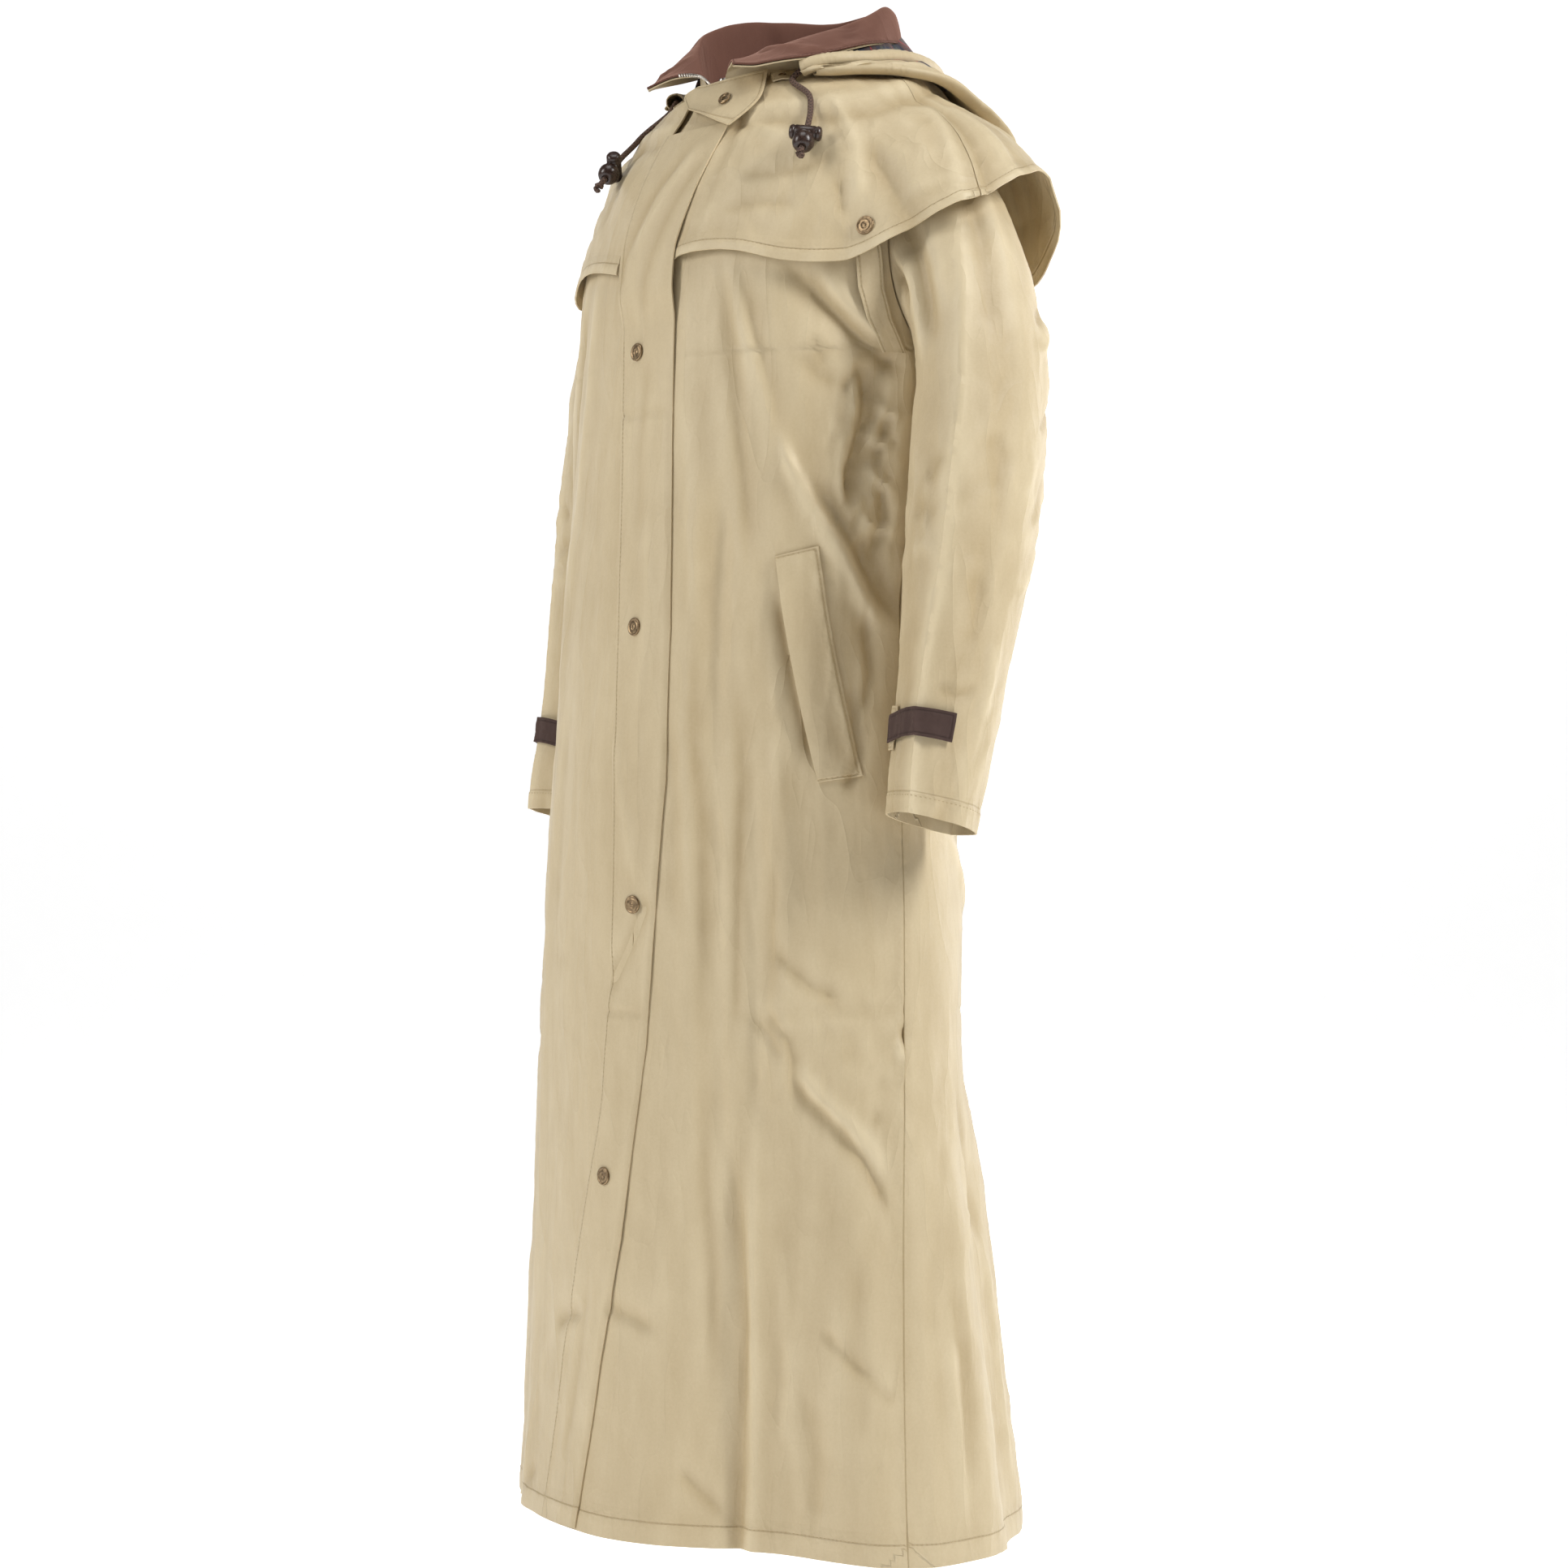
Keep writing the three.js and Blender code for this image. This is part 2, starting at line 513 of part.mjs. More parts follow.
add('hood_lining', wallGeometry(liningAround, liningDown, hoodInside, 1, false, false), 'check');

const rimAngles = Array.from({ length: 8 }, (_, k) => (k / 8) * 2 * Math.PI);
const rimPoint = (a, s) => {
  const p = new THREE.Vector3(...along(rimAll, s));
  const q = new THREE.Vector3(...along(rimAll, s + 0.005));
  const o = new THREE.Vector3(...along(rimAll, s - 0.005));
  const run = q.sub(o).normalize();
  const out = run.clone().cross(new THREE.Vector3(0, 0, 1)).normalize();
  const top = out.clone().cross(run).normalize();
  const v = p.addScaledVector(out, channelRadius * Math.cos(a));
  return v.addScaledVector(top, channelRadius * 0.8 * Math.sin(a)).toArray();
};
add('hood_rim', wallGeometry(rimAngles, steps(22), rimPoint, 1.2, true, false), 'shell');

// small stitched tabs where the hood fastens under the collar
for (const side of [1, -1]) {
  add(`hood_tab_${side > 0 ? 'left' : 'right'}`, wallGeometry([0, 0.5, 1], [0, 0.5, 1], (u, v) => (
    capePoint(side * mix(40, 48, u), mix(0.005, 0.075, v), 1.7)), 1.4, false, side > 0), 'shell');
}

// snaps
function discOn(point, normal, radius, high) {
  const disc = new THREE.CylinderGeometry(radius * 0.86, radius, high, 12);
  const turn = new THREE.Quaternion().setFromUnitVectors(new THREE.Vector3(0, 1, 0), normal);
  disc.applyQuaternion(turn);
  const c = new THREE.Vector3(...point).addScaledVector(normal, high / 2);
  disc.translate(c.x, c.y, c.z);
  disc.deleteAttribute('uv');
  disc.deleteAttribute('normal');
  return mergeVertices(disc, 1e-4);
}
function normalOf(fn, u, v, du, dv) {
  const a = new THREE.Vector3(...fn(u + du, v)).sub(new THREE.Vector3(...fn(u - du, v)));
  const b = new THREE.Vector3(...fn(u, v - dv)).sub(new THREE.Vector3(...fn(u, v + dv)));
  const n = b.cross(a).normalize();
  return n;
}
snapPlaces.forEach(([deg, z], i) => {
  const fn = (a, b) => bodyPoint(a, b, flapOff(b) + 0.7);
  const n = normalOf(fn, deg, z, 1, 8).negate();
  if (n.y > 0) n.negate();
  add(`snap_${i + 1}`, discOn(fn(deg, z), n, snapRadius, snapHeight), 'snap');
});
{
  const n = normalOf(throatPoint, 0.6, 0.56, 0.05, 0.05);
  if (n.y > 0) n.negate();
  const p = new THREE.Vector3(...throatPoint(0.6, 0.56)).addScaledVector(n, 0.6).toArray();
  add('snap_throat', discOn(p, n, 6, 1.6), 'snap');
}
for (const side of [1, -1]) {
  const fn = (deg, v) => capePoint(deg, v, 0);
  const n = normalOf(fn, side * 69, 0.87, 1, 0.03);
  if (n.x * side < 0) n.negate();
  const p = new THREE.Vector3(...fn(side * 69, 0.87)).addScaledVector(n, side > 0 ? 1.6 : 0.9).toArray();
  add(`snap_cape_${side > 0 ? 'left' : 'right'}`, discOn(p, n, 8, snapHeight), 'snap');
}

// drawcords and their toggles
class SmoothPath extends THREE.Curve {
  constructor(points) {
    super();
    this.points = points;
  }

  getPoint(s) {
    return new THREE.Vector3(...along(this.points, s));
  }
}
function cordGeometry(points) {
  const ring = new THREE.Shape();
  for (let k = 0; k < 8; k += 1) {
    const a = (k / 8) * 2 * Math.PI;
    const x = cordRadius * Math.cos(a);
    const y = cordRadius * Math.sin(a);
    if (k === 0) ring.moveTo(x, y);
    else ring.lineTo(x, y);
  }
  const geo = new THREE.ExtrudeGeometry(ring, {
    steps: 11, bevelEnabled: false, extrudePath: new SmoothPath(points),
  });
  geo.deleteAttribute('uv');
  geo.deleteAttribute('normal');
  return mergeVertices(geo, 1e-4);
}
function toggleGeometry({ at, run }) {
  const profile = [[0, -12], [5, -12], [8.4, -7], [9.2, -1], [8, 5], [6.4, 9], [0, 9]]
    .map(([r, y]) => new THREE.Vector2(r, y));
  const bell = toManifold(new THREE.LatheGeometry(profile, 10));
  const barrel = new THREE.CylinderGeometry(6.2, 6.2, 26, 10);
  barrel.rotateZ(Math.PI / 2);
  barrel.translate(0, 8, 0);
  const bore = new THREE.CylinderGeometry(3.4, 3.4, 60, 10);
  const solid = bell.add(toManifold(barrel)).subtract(toManifold(bore));
  const geo = fromManifold(solid);
  const turn = new THREE.Quaternion().setFromUnitVectors(new THREE.Vector3(0, -1, 0), run);
  geo.applyQuaternion(turn);
  geo.translate(at.x, at.y, at.z);
  return geo;
}
for (const [side, rows, toggle] of [[1, cordLeft, toggleLeft], [-1, cordRight, toggleRight]]) {
  const at = new THREE.Vector3(...capePoint(...toggle.at));
  const run = at.clone().sub(new THREE.Vector3(...capePoint(...toggle.from))).normalize();
  const points = [...cordStart.map((p) => (side > 0 ? p : mirrorX(p))),
    ...rows.map((r) => capePoint(...r)),
    ...[-23, -12, 0, 12, toggle.tail].map((d) => at.clone().addScaledVector(run, d).toArray())];
  const name = side > 0 ? 'left' : 'right';
  add(`drawcord_${name}`, cordGeometry(points), 'cord');
  add(`toggle_${name}`, toggleGeometry({ at, run }), 'toggle');
}

// slider at the top of the zip
const slider = new THREE.BoxGeometry(8, 5, 11);
slider.rotateX(-0.5);
slider.translate(1.5, -94, -13);
slider.deleteAttribute('uv');
slider.deleteAttribute('normal');
add('zip_slider', mergeVertices(slider, 1e-4), 'zip');

export default group;
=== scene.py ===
import math
import bpy
import bmesh
import numpy as np
from mathutils import Matrix, Vector


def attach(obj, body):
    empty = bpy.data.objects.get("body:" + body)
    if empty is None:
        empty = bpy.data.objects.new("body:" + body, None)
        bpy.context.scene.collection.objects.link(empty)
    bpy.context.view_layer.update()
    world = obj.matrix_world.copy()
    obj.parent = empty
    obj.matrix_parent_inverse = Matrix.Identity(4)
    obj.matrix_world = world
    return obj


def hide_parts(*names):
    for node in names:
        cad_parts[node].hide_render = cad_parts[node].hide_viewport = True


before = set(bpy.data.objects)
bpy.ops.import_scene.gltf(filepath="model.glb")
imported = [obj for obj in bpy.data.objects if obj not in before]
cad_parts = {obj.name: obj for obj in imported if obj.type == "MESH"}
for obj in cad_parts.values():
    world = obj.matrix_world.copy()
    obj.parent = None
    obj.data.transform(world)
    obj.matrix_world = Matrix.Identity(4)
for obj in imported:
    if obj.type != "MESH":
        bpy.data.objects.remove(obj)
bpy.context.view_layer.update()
rad = math.pi / 180

# camera, set from the photo: turn round the coat, distance, height and sideways place in metres
eye = {"turn": 55, "far": 3.2, "high": -0.614, "side": -0.0227, "lens": 84.09}
turn = eye["turn"] * rad
cameraData = bpy.data.cameras.new("camera")
cameraData.lens = eye["lens"]
cameraData.sensor_fit = "HORIZONTAL"
cameraData.sensor_width = 36
camera = bpy.data.objects.new("camera", cameraData)
bpy.context.scene.collection.objects.link(camera)
camera.location = (
    eye["far"] * math.sin(turn) + eye["side"] * math.cos(turn),
    -eye["far"] * math.cos(turn) + eye["side"] * math.sin(turn),
    eye["high"],
)
camera.rotation_euler = (math.pi / 2, 0, turn)
bpy.context.scene.camera = camera

# form of the coat in millimetres and degrees, as in the CAD source
bodyRings = [
    [0, 78, 78, 84, 72, -12, 0, 0, 20], [-14, 112, 112, 96, 84, -14, 0, 0, 17],
    [-34, 150, 150, 101, 98, -18, 0, 0, 12], [-64, 186, 186, 113, 112, -24, 0, 0, 8],
    [-110, 204, 204, 127, 122, -32, 0, 0, 4], [-170, 211, 211, 138, 128, -40, 0, 0, 0],
    [-240, 212, 212, 140, 130, -45, 0, 0, 0], [-390, 207, 207, 145, 134, -52, 0.02, 0, 0],
    [-500, 208, 208, 149, 136, -57, 0.04, 0, 0], [-605, 216, 216, 152, 142, -60, 0.06, 0, 0],
    [-710, 230, 228, 152, 148, -64, 0.08, 0, 0], [-850, 242, 233, 152, 144, -68, 0.12, 0, 0],
    [-1000, 256, 238, 152, 172, -72, 0.18, 0, 0], [-1140, 270, 244, 154, 194, -74, 0.23, 0, 0],
    [-1240, 282, 250, 160, 205, -75, 0.26, 0, 0],
]
bodyFolds = [
    [28, 4, 4.5, -330, -930, 0], [34.5, 3.6, -5, -330, -980, 0], [45.5, 4, -6, -560, -920, 0],
    [52.5, 4, 4, -560, -930, 0], [39, 4, -5, -900, -1300, 0], [46, 5, 5, -920, -1300, 0],
    [64, 6, 5, -330, -520, 22], [74, 9, -8, -230, -560, 6], [70, 7, 4, -800, -1300, 4],
    [80, 5, -5, -860, -1300, 4], [104, 8, 6, -900, -1300, 8], [118, 7, -6, -880, -1300, 6],
    [134, 9, 7, -840, -1300, 4], [152, 8, -6, -760, -1300, 2], [170, 9, 5, -700, -1300, 0],
    [-172, 8, -5, -720, -1300, -2], [-156, 9, 6, -780, -1300, -4], [-138, 8, -6, -820, -1300, -4],
    [-120, 8, 6, -860, -1300, -6], [-104, 6, -5, -900, -1300, -6], [-84, 7, 5, -860, -1300, -2],
    [-70, 6, -5, -560, -1300, 0], [-56, 6, 5, -520, -1300, 0], [-43, 5, -5, -420, -1300, 0],
    [-30, 5, 4, -360, -1300, 0], [-74, 9, -7, -230, -560, -6],
]
flapTable = [
    [-44, -7, 21], [-80, -6.4, 18.4], [-115, -6, 16.8], [-164, -5, 15.4], [-255, -2.4, 16.8],
    [-368, 0.6, 18.9], [-484, 3.2, 21.1], [-610, 4.6, 20.8], [-714, 4.9, 18.1], [-773, 4.9, 16.9],
    [-830, 3.6, 15.6], [-906, 1.2, 12.4], [-992, -4.2, 9.2], [-1098, -10.4, 3.8],
    [-1238, -16, -1.8],
]
capeTable = [
    [0, -186, 0, 0], [20, -174, 0, 0], [32, -175, 0, 0], [48, -187, 0, 0], [64, -189, 4, -2],
    [71, -182, 16, -8], [78, -168, 36, -13], [86, -150, 62, -10], [93, -141, 76, -3],
    [101, -128, 86, 8], [110, -117, 92, 22], [118, -113, 93, 36], [122, -128, 91, 40],
    [126, -166, 82, 41], [131, -190, 68, 39], [145, -204, 34, 29], [162, -212, 10, 17],
    [180, -215, 0, 13],
]
capeSpread = [
    [0, 0], [-20, 0], [-43, 0.06], [-56, 0.2], [-74, 0.42], [-87, 0.55], [-101, 0.66],
    [-112, 0.74], [-141, 0.9], [-190, 1], [-240, 1.02],
]
rightLift = [[60, 0], [72, 12], [84, 34], [92, 40], [101, 34], [112, 18], [121, 6], [130, 0]]
sleeveTable = [
    [-290, 262, -14, 46, 58], [-330, 262, -18, 47, 59], [-376, 263, -22, 47, 59],
    [-438, 264, -31, 45, 55], [-517, 266, -46, 41, 46], [-566, 267, -55, 39, 43],
    [-600, 268, -63, 37, 41], [-646, 269, -72, 35, 39],
]
collarRows = [
    [[9, -95, -17], [20, -101, -4], [44, -113, -1], [66, -127, -9]],
    [[27, -89, -15.5], [36, -93, 2], [60, -104, 1], [83, -115, -6]],
    [[45, -80, -13.5], [52, -81, 8], [74, -91, 6], [98, -97, -2]],
    [[67, -53, -7.5], [74, -57, 18], [90, -61, 15], [108, -65, 4]],
    [[77.5, -12, 2.4], [83, -13, 35], [97, -15, 29], [110, -16, 18]],
    [[67, 24, 12.4], [69, 25, 53], [78, 31, 47], [82, 36, 28]],
    [[39, 50, 19.4], [38, 50, 60], [43, 59, 55], [46, 64, 33]],
    [[0, 60, 22.4], [0, 60, 62], [0, 69, 57], [0, 74, 35]],
]
hoodTable = [
    [58, 58, -15, 9, 1, 2.6], [65, 65, -18, 10, 1, 3], [76, 77, -20, 11, 2, 3.4],
    [90, 95, -25, 12, 2, 4], [108, 122, -40, 14, 3, 8], [129, 146, -88, 18, 5, 11],
    [153, 161, -138, 22, 8, 8.5], [180, 180, -168, 26, 12, 6],
]
rimPath = [
    [97, -77, -12], [110, -66.6, -8.6], [119.8, -50, -6], [121, -26, -3], [115, 4, 2.5],
    [105, 38, 4], [82.5, 72.5, 2], [48, 102, -3], [0, 118, -8],
]
collarRaise = [0, 12, 20, 28, 27, 11, 0, 0]
cordStart = [[102, -72, -10.6], [97, -77, -14], [94, -81.5, -18.5], [96, -86, -25]]
cordRuns = {
    1: {"rows": [[50, 0.19, 5], [49.5, 0.26, 5]], "from": [49, 0.31, 8], "at": [48, 0.43, 13.5],
        "tail": 19},
    -1: {"rows": [[-44, 0.19, 5.5], [-37, 0.26, 6]], "from": [-31, 0.31, 9],
         "at": [-25, 0.43, 14], "tail": 25},
}
throatRows = [
    [[-14, 0, 9], [2, -4, 9], [18, -3, 9.4], [40, 0, 8]],
    [[-9, -12, 10], [6, -17, 10.4], [22, -18, 10.2], [37, -14, 8]],
    [[-2, -24, 11.2], [9, -29, 11.6], [20, -34, 11.8], [31, -34, 10]],
    [[2, -32, 13], [9, -38, 14], [16, -46, 15], [23, -55, 16]],
]
snapPlaces = [[4, -251], [10, -483], [11.7, -714], [4.4, -941]]
pocketCorners = [[50.2, -428], [62.4, -420], [76.3, -607], [63.5, -613]]
strapEdges = [[-150, 72], [-180, 75.4], [-210, 76.8], [-235, 80], [-262, 86.5]]
capeLift = 5.2
channelRadius = 7


def mix(a, b, s):
    return a + (b - a) * s


def ease(a, b, x):
    s = np.clip((np.asarray(x, float) - a) / (b - a), 0, 1)
    return s * s * (3 - 2 * s)


def rising(table):
    t = np.array(table, float)
    return t[::-1] if t[1, 0] < t[0, 0] else t


def tableRow(table, x):
    t = rising(table)
    x = np.clip(np.asarray(x, float), t[0, 0], t[-1, 0])
    i = np.clip(np.searchsorted(t[:, 0], x, side="right") - 1, 0, len(t) - 2)
    p0, p1, p2, p3 = t[np.maximum(i - 1, 0)], t[i], t[i + 1], t[np.minimum(i + 2, len(t) - 1)]
    h = p2[..., :1] - p1[..., :1]
    s = (x[..., None] - p1[..., :1]) / h
    m1 = (p2 - p0) / (p2[..., :1] - p0[..., :1]) * h
    m2 = (p3 - p1) / (p3[..., :1] - p1[..., :1]) * h
    s2, s3 = s * s, s * s * s
    return (2 * s3 - 3 * s2 + 1) * p1 + (s3 - 2 * s2 + s) * m1 + (3 * s2 - 2 * s3) * p2 \
        + (s3 - s2) * m2


def straight(table, x, column=1):
    t = rising(table)
    return np.interp(np.asarray(x, float), t[:, 0], t[:, column])


def weights(n, s):
    s = np.asarray(s, float)
    x = np.clip(s, 0, 1).ravel() * (n - 1)
    i = np.minimum(n - 2, np.floor(x)).astype(int)
    f = x - i
    parts = [-f + 2 * f**2 - f**3, 2 - 5 * f**2 + 3 * f**3, f + 4 * f**2 - 3 * f**3, f**3 - f**2]
    w = np.zeros((len(x), n))
    row = np.arange(len(x))
    for k, part in enumerate(parts):
        np.add.at(w, (row, np.clip(i + k - 1, 0, n - 1)), 0.5 * part)
    return w.reshape(s.shape + (n,))


def along(points, s):
    return weights(len(points), s) @ np.array(points, float)


def patch(rows, u, v):
    p = np.array(rows, float)
    return np.einsum("...i,...j,ijk->...k", weights(p.shape[0], v), weights(p.shape[1], u), p)


def point(x, y, z):
    return np.stack(np.broadcast_arrays(x, y, z), -1).astype(float)


def unit(a):
    return a / np.maximum(np.linalg.norm(a, axis=-1, keepdims=True), 1e-9)


def foldHeight(deg, z):
    total = np.zeros(np.broadcast(deg, z).shape)
    for mid, half, high, top, bottom, lean in bodyFolds:
        at = mid + lean * np.clip((top - z) / (top - bottom), 0, 1)
        gap = np.abs(deg - at) % 360
        gap = np.minimum(gap, 360 - gap)
        fade = ease(top, top - 90, z) * (1 - ease(bottom + 90, bottom, z))
        total = total + high * fade * np.exp(-((gap / half) ** 2))
    return total


def bodyPoint(deg, z, off=0.0):
    deg, z = np.broadcast_arrays(np.asarray(deg, float), np.asarray(z, float))
    g = tableRow(bodyRings, z)
    st, ct = np.sin(deg * rad), np.cos(deg * rad)
    lift = off + foldHeight(deg, z)
    side = np.where(st > 0, g[..., 1], g[..., 2]) + lift
    deep = np.where(ct > 0, g[..., 3], g[..., 4]) + lift
    square = np.where(ct > 0, np.where(st > 0, g[..., 6], g[..., 7]), 0)
    k = 1 - square * np.sin(2 * deg * rad) ** 2
    rise = off * ease(-64, 0, z) * 0.75
    return point(side * st * k, g[..., 5] - deep * ct * k, z - g[..., 8] * ct + rise)


def sideAngle(z):
    low = straight([[-260, 101], [-420, 91], [-700, 88], [-1240, 82]], z)
    high = straight([[-60, 101], [0, 94]], z)
    return np.where(z < -260, low, np.where(z > -60, high, 101.0))


def armholeReach(z):
    s = (np.asarray(z, float) + 160) / 100
    return 23 * np.sqrt(np.clip(1 - s * s, 0, 1))


def openAngle(z):
    return straight(flapTable, z) + 6.4


def flapOff(z):
    return 3 + 4.8 * ease(-232, -196, z)


def sleevePoint(psi, z, off=0.0):
    g = tableRow(sleeveTable, z)
    cx, sx = np.cos(psi), np.sin(psi)
    crease = 1 + 0.07 * np.exp(-(((psi - 35 * rad) / 0.34) ** 2)) * ease(-250, -330, z)
    slant = 10 * ease(-560, -646, z) * sx
    return point(g[..., 1] + (g[..., 3] * crease + off) * cx, g[..., 2] - (g[..., 4] * crease + off) * sx,
                 z + slant)


def sleeveAt(psi, s):
    c = np.cos(psi)
    p0 = bodyPoint(101 - 22.75 * np.sin(psi), -160 + 99.2 * c, 0.7)
    p3 = sleevePoint(psi, np.full_like(psi, -290))
    h0, h1 = 6 + 32 * (1 + c), 8 + 46 * (1 + c)
    p1 = p0 + point(h0, 0, -0.6 * h0)
    p2 = p3 + point(0, 0, h1)
    r, q = 1 - np.clip(s, 0, 1)[..., None], np.clip(s, 0, 1)[..., None]
    cap = r**3 * p0 + 3 * r * r * q * p1 + 3 * r * q * q * p2 + q**3 * p3
    return np.where(s[..., None] <= 1, cap, sleevePoint(psi, mix(-290, -646, np.maximum(s - 1, 0))))


def capePoint(deg, v, off=0.0):
    deg, v = np.broadcast_arrays(np.asarray(deg, float), np.asarray(v, float))
    deg = np.where(deg > 180, deg - 360, deg)
    side, far = np.where(deg < 0, -1, 1), np.abs(deg)
    row = tableRow(capeTable, far)
    lift = np.where(side < 0, straight(rightLift, far), 0)
    z = mix(0, row[..., 1] + lift * 0.45, v)
    spread = straight(capeSpread, z)
    p = bodyPoint(deg, z, capeLift + off)
    k = np.where(side < 0, 1 + 0.05 * ease(70, 85, far) * (1 - ease(105, 125, far)), 1)
    return p + point(side * row[..., 2] * spread * k, row[..., 3] * spread, lift * 0.55 * spread)


def collarPoint(u, v):
    rows = np.array(collarRows, float)
    high = rows.copy()
    high[:, :, 2] += np.outer(collarRaise, [0, 1, 0.6, 0.35])
    half = np.abs(u - 0.5) * 2
    a, b = weights(8, 1 - half), weights(4, v)
    left = np.einsum("...i,...j,ijk->...k", a, b, rows)
    right = np.einsum("...i,...j,ijk->...k", a, b, high)
    p = np.where((u > 0.5)[..., None], right, left)
    p[..., 0] = np.where(u < 0.5, p[..., 0], -p[..., 0])
    return p


def hoodPoint(u, v, inset=None):
    half = np.clip(1 - np.abs(u - 0.5) * 2, 0, 1)
    neckDeg, footDeg, footZ, deep, bulge, lift = np.moveaxis(along(hoodTable, half), -1, 0)
    foot = footZ * (1 if inset is None else 0.87)
    edge = tableRow(capeTable, footDeg)[..., 1]

    def at(share, over):
        drop = (lift - 3.25 - 3.2 * half) * (1 - np.clip(share, 0, 1)) ** 0.7
        return capePoint(mix(neckDeg, footDeg, share), mix(-2, foot, share) / edge, over - drop)

    rim = along(rimPath, half)
    run = unit(along(rimPath, half + 0.01) - along(rimPath, half - 0.01))
    outer = at(1.0, lift + deep)
    away = outer - rim
    away = unit(away - run * np.sum(away * run, -1, keepdims=True)) * (channelRadius + 3)
    up = rim + away - outer
    inward = at(1.0, lift) - outer
    inward = unit(inward - up * (np.sum(inward * up, -1) / np.sum(up * up, -1))[..., None])
    under = 0 if inset is None else mix(3.1, 4.4, half)
    low = at(1.0, lift + under)
    high = outer if inset is None else outer + inward * inset[..., None]
    first = at(np.minimum(v, 0.4) / 0.4, lift + under)
    angle = (np.clip((v - 0.4) / 0.2, 0, 1) * math.pi)[..., None]
    out = (high - low) * 0.5
    dive = unit(low - at(0.9, lift + under)) * np.linalg.norm(out, axis=-1, keepdims=True)
    bend = low + out - np.cos(angle) * out + np.sin(angle) * dive
    s = np.clip((v - 0.6) / 0.4, 0, 1)[..., None]
    last = high + up * s
    flat = last.copy()
    flat[..., 2] = 0
    last = last + unit(flat) * bulge[..., None] * np.sin(math.pi * s)
    p = np.where((v <= 0.4)[..., None], first, np.where((v < 0.6)[..., None], bend, last))
    p[..., 0] = np.where(u < 0.5, p[..., 0], -p[..., 0])
    return p


def gridNormal(p, wrap):
    if wrap:
        du = np.roll(p[:, :-1], -1, 1) - np.roll(p[:, :-1], 1, 1)
        du = np.concatenate([du, du[:, :1]], 1)
    else:
        du = np.gradient(p, axis=1)
    return unit(np.cross(du, np.gradient(p, axis=0)))


creaseBold = 1.6


# sum of soft ridges and troughs; x in degrees, z in mm, scale in mm per degree
def creaseHeight(x, z, scale, creases):
    total = np.zeros(x.shape)
    for high, near, far, line in creases:
        line = np.array(line, float)
        reach = 2.6 * max(near, far)
        flatX = reach / max(1.0, float(scale.min()))
        keep = (x > line[:, 0].min() - flatX) & (x < line[:, 0].max() + flatX)
        keep &= (z > line[:, 1].min() - reach) & (z < line[:, 1].max() + reach)
        if not keep.any():
            continue
        px, pz, k = x[keep], z[keep], scale[keep]
        best, turned, place = np.full(px.shape, 1e9), np.zeros(px.shape), np.zeros(px.shape)
        count = len(line) - 1
        for i in range(count):
            ax, az = (px - line[i, 0]) * k, pz - line[i, 1]
            bx, bz = (line[i + 1, 0] - line[i, 0]) * k, line[i + 1, 1] - line[i, 1]
            t = np.clip((ax * bx + az * bz) / np.maximum(bx * bx + bz * bz, 1e-6), 0, 1)
            d = np.hypot(ax - t * bx, az - t * bz)
            nearer = d < best
            best = np.where(nearer, d, best)
            turned = np.where(nearer, bx * az - bz * ax, turned)
            place = np.where(nearer, (i + t) / count, place)
        w = np.where(turned > 0, far, near)
        fade = ease(0, 0.22, place) * (1 - ease(0.78, 1, place))
        crest = 0.55 * np.exp(-((best / w) ** 2)) + 0.45 * np.exp(-best / (0.55 * w))
        total[keep] += creaseBold * high * fade * crest
    return total


# small crumples strewn over a field, each a short bent line
def scatter(seed, count, xs, zs, length, width, high, lean=0.0, spread=1.2):
    rng = np.random.default_rng(seed)
    out = []
    for _ in range(count):
        x, z = rng.uniform(min(xs), max(xs)), rng.uniform(min(zs), max(zs))
        a = lean + rng.normal(0, spread)
        l = length * rng.uniform(0.5, 1.4)
        h = high * rng.uniform(0.4, 1.1) * rng.choice([-1, 1])
        w = width * rng.uniform(0.6, 1.4)
        dx, dz = math.sin(a) * l / 3.6, -math.cos(a) * l
        bend = rng.normal(0, 0.12)
        mid = [x + dx / 2 + bend * dz / 3.6, z + dz / 2 - bend * dx]
        out.append([h, w, w * rng.uniform(0.6, 1.6), [[x, z], mid, [x + dx, z + dz]]])
    return out


# random net of soft ridges over mm fields x and z
def crumple(x, z, seed, wide, long):
    rng = np.random.default_rng(seed)
    total = np.zeros(np.broadcast(x, z).shape)
    for step, part in ((1.0, 0.5), (0.55, 0.3), (0.29, 0.2)):
        table = rng.uniform(-1, 1, (64, 64))
        a = x / (wide * step) + rng.uniform(0, 64)
        b = z / (long * step) + rng.uniform(0, 64)
        a, b = a + 0.55 * np.sin(b * 1.3 + seed), b + 0.45 * np.sin(a * 1.1 + seed * 2)
        i, j = np.floor(a).astype(int), np.floor(b).astype(int)
        f, g = a - i, b - j
        f, g = f * f * (3 - 2 * f), g * g * (3 - 2 * g)
        low = mix(table[j % 64, i % 64], table[j % 64, (i + 1) % 64], f)
        top = mix(table[(j + 1) % 64, i % 64], table[(j + 1) % 64, (i + 1) % 64], f)
        total = total + part * (0.62 - np.sqrt(np.abs(mix(low, top, g)) + 0.004))
    return total


def soften(a, n):
    for axis in (0, 1):
        pad = [(0, 0), (0, 0)]
        pad[axis] = (n, n)
        c = np.cumsum(np.pad(a, pad, mode="edge"), axis=axis)
        c = np.insert(c, 0, 0, axis=axis)
        top = np.take(c, range(2 * n + 1, c.shape[axis]), axis=axis)
        low = np.take(c, range(0, c.shape[axis] - 2 * n - 1), axis=axis)
        a = (top - low) / (2 * n + 1)
    return a


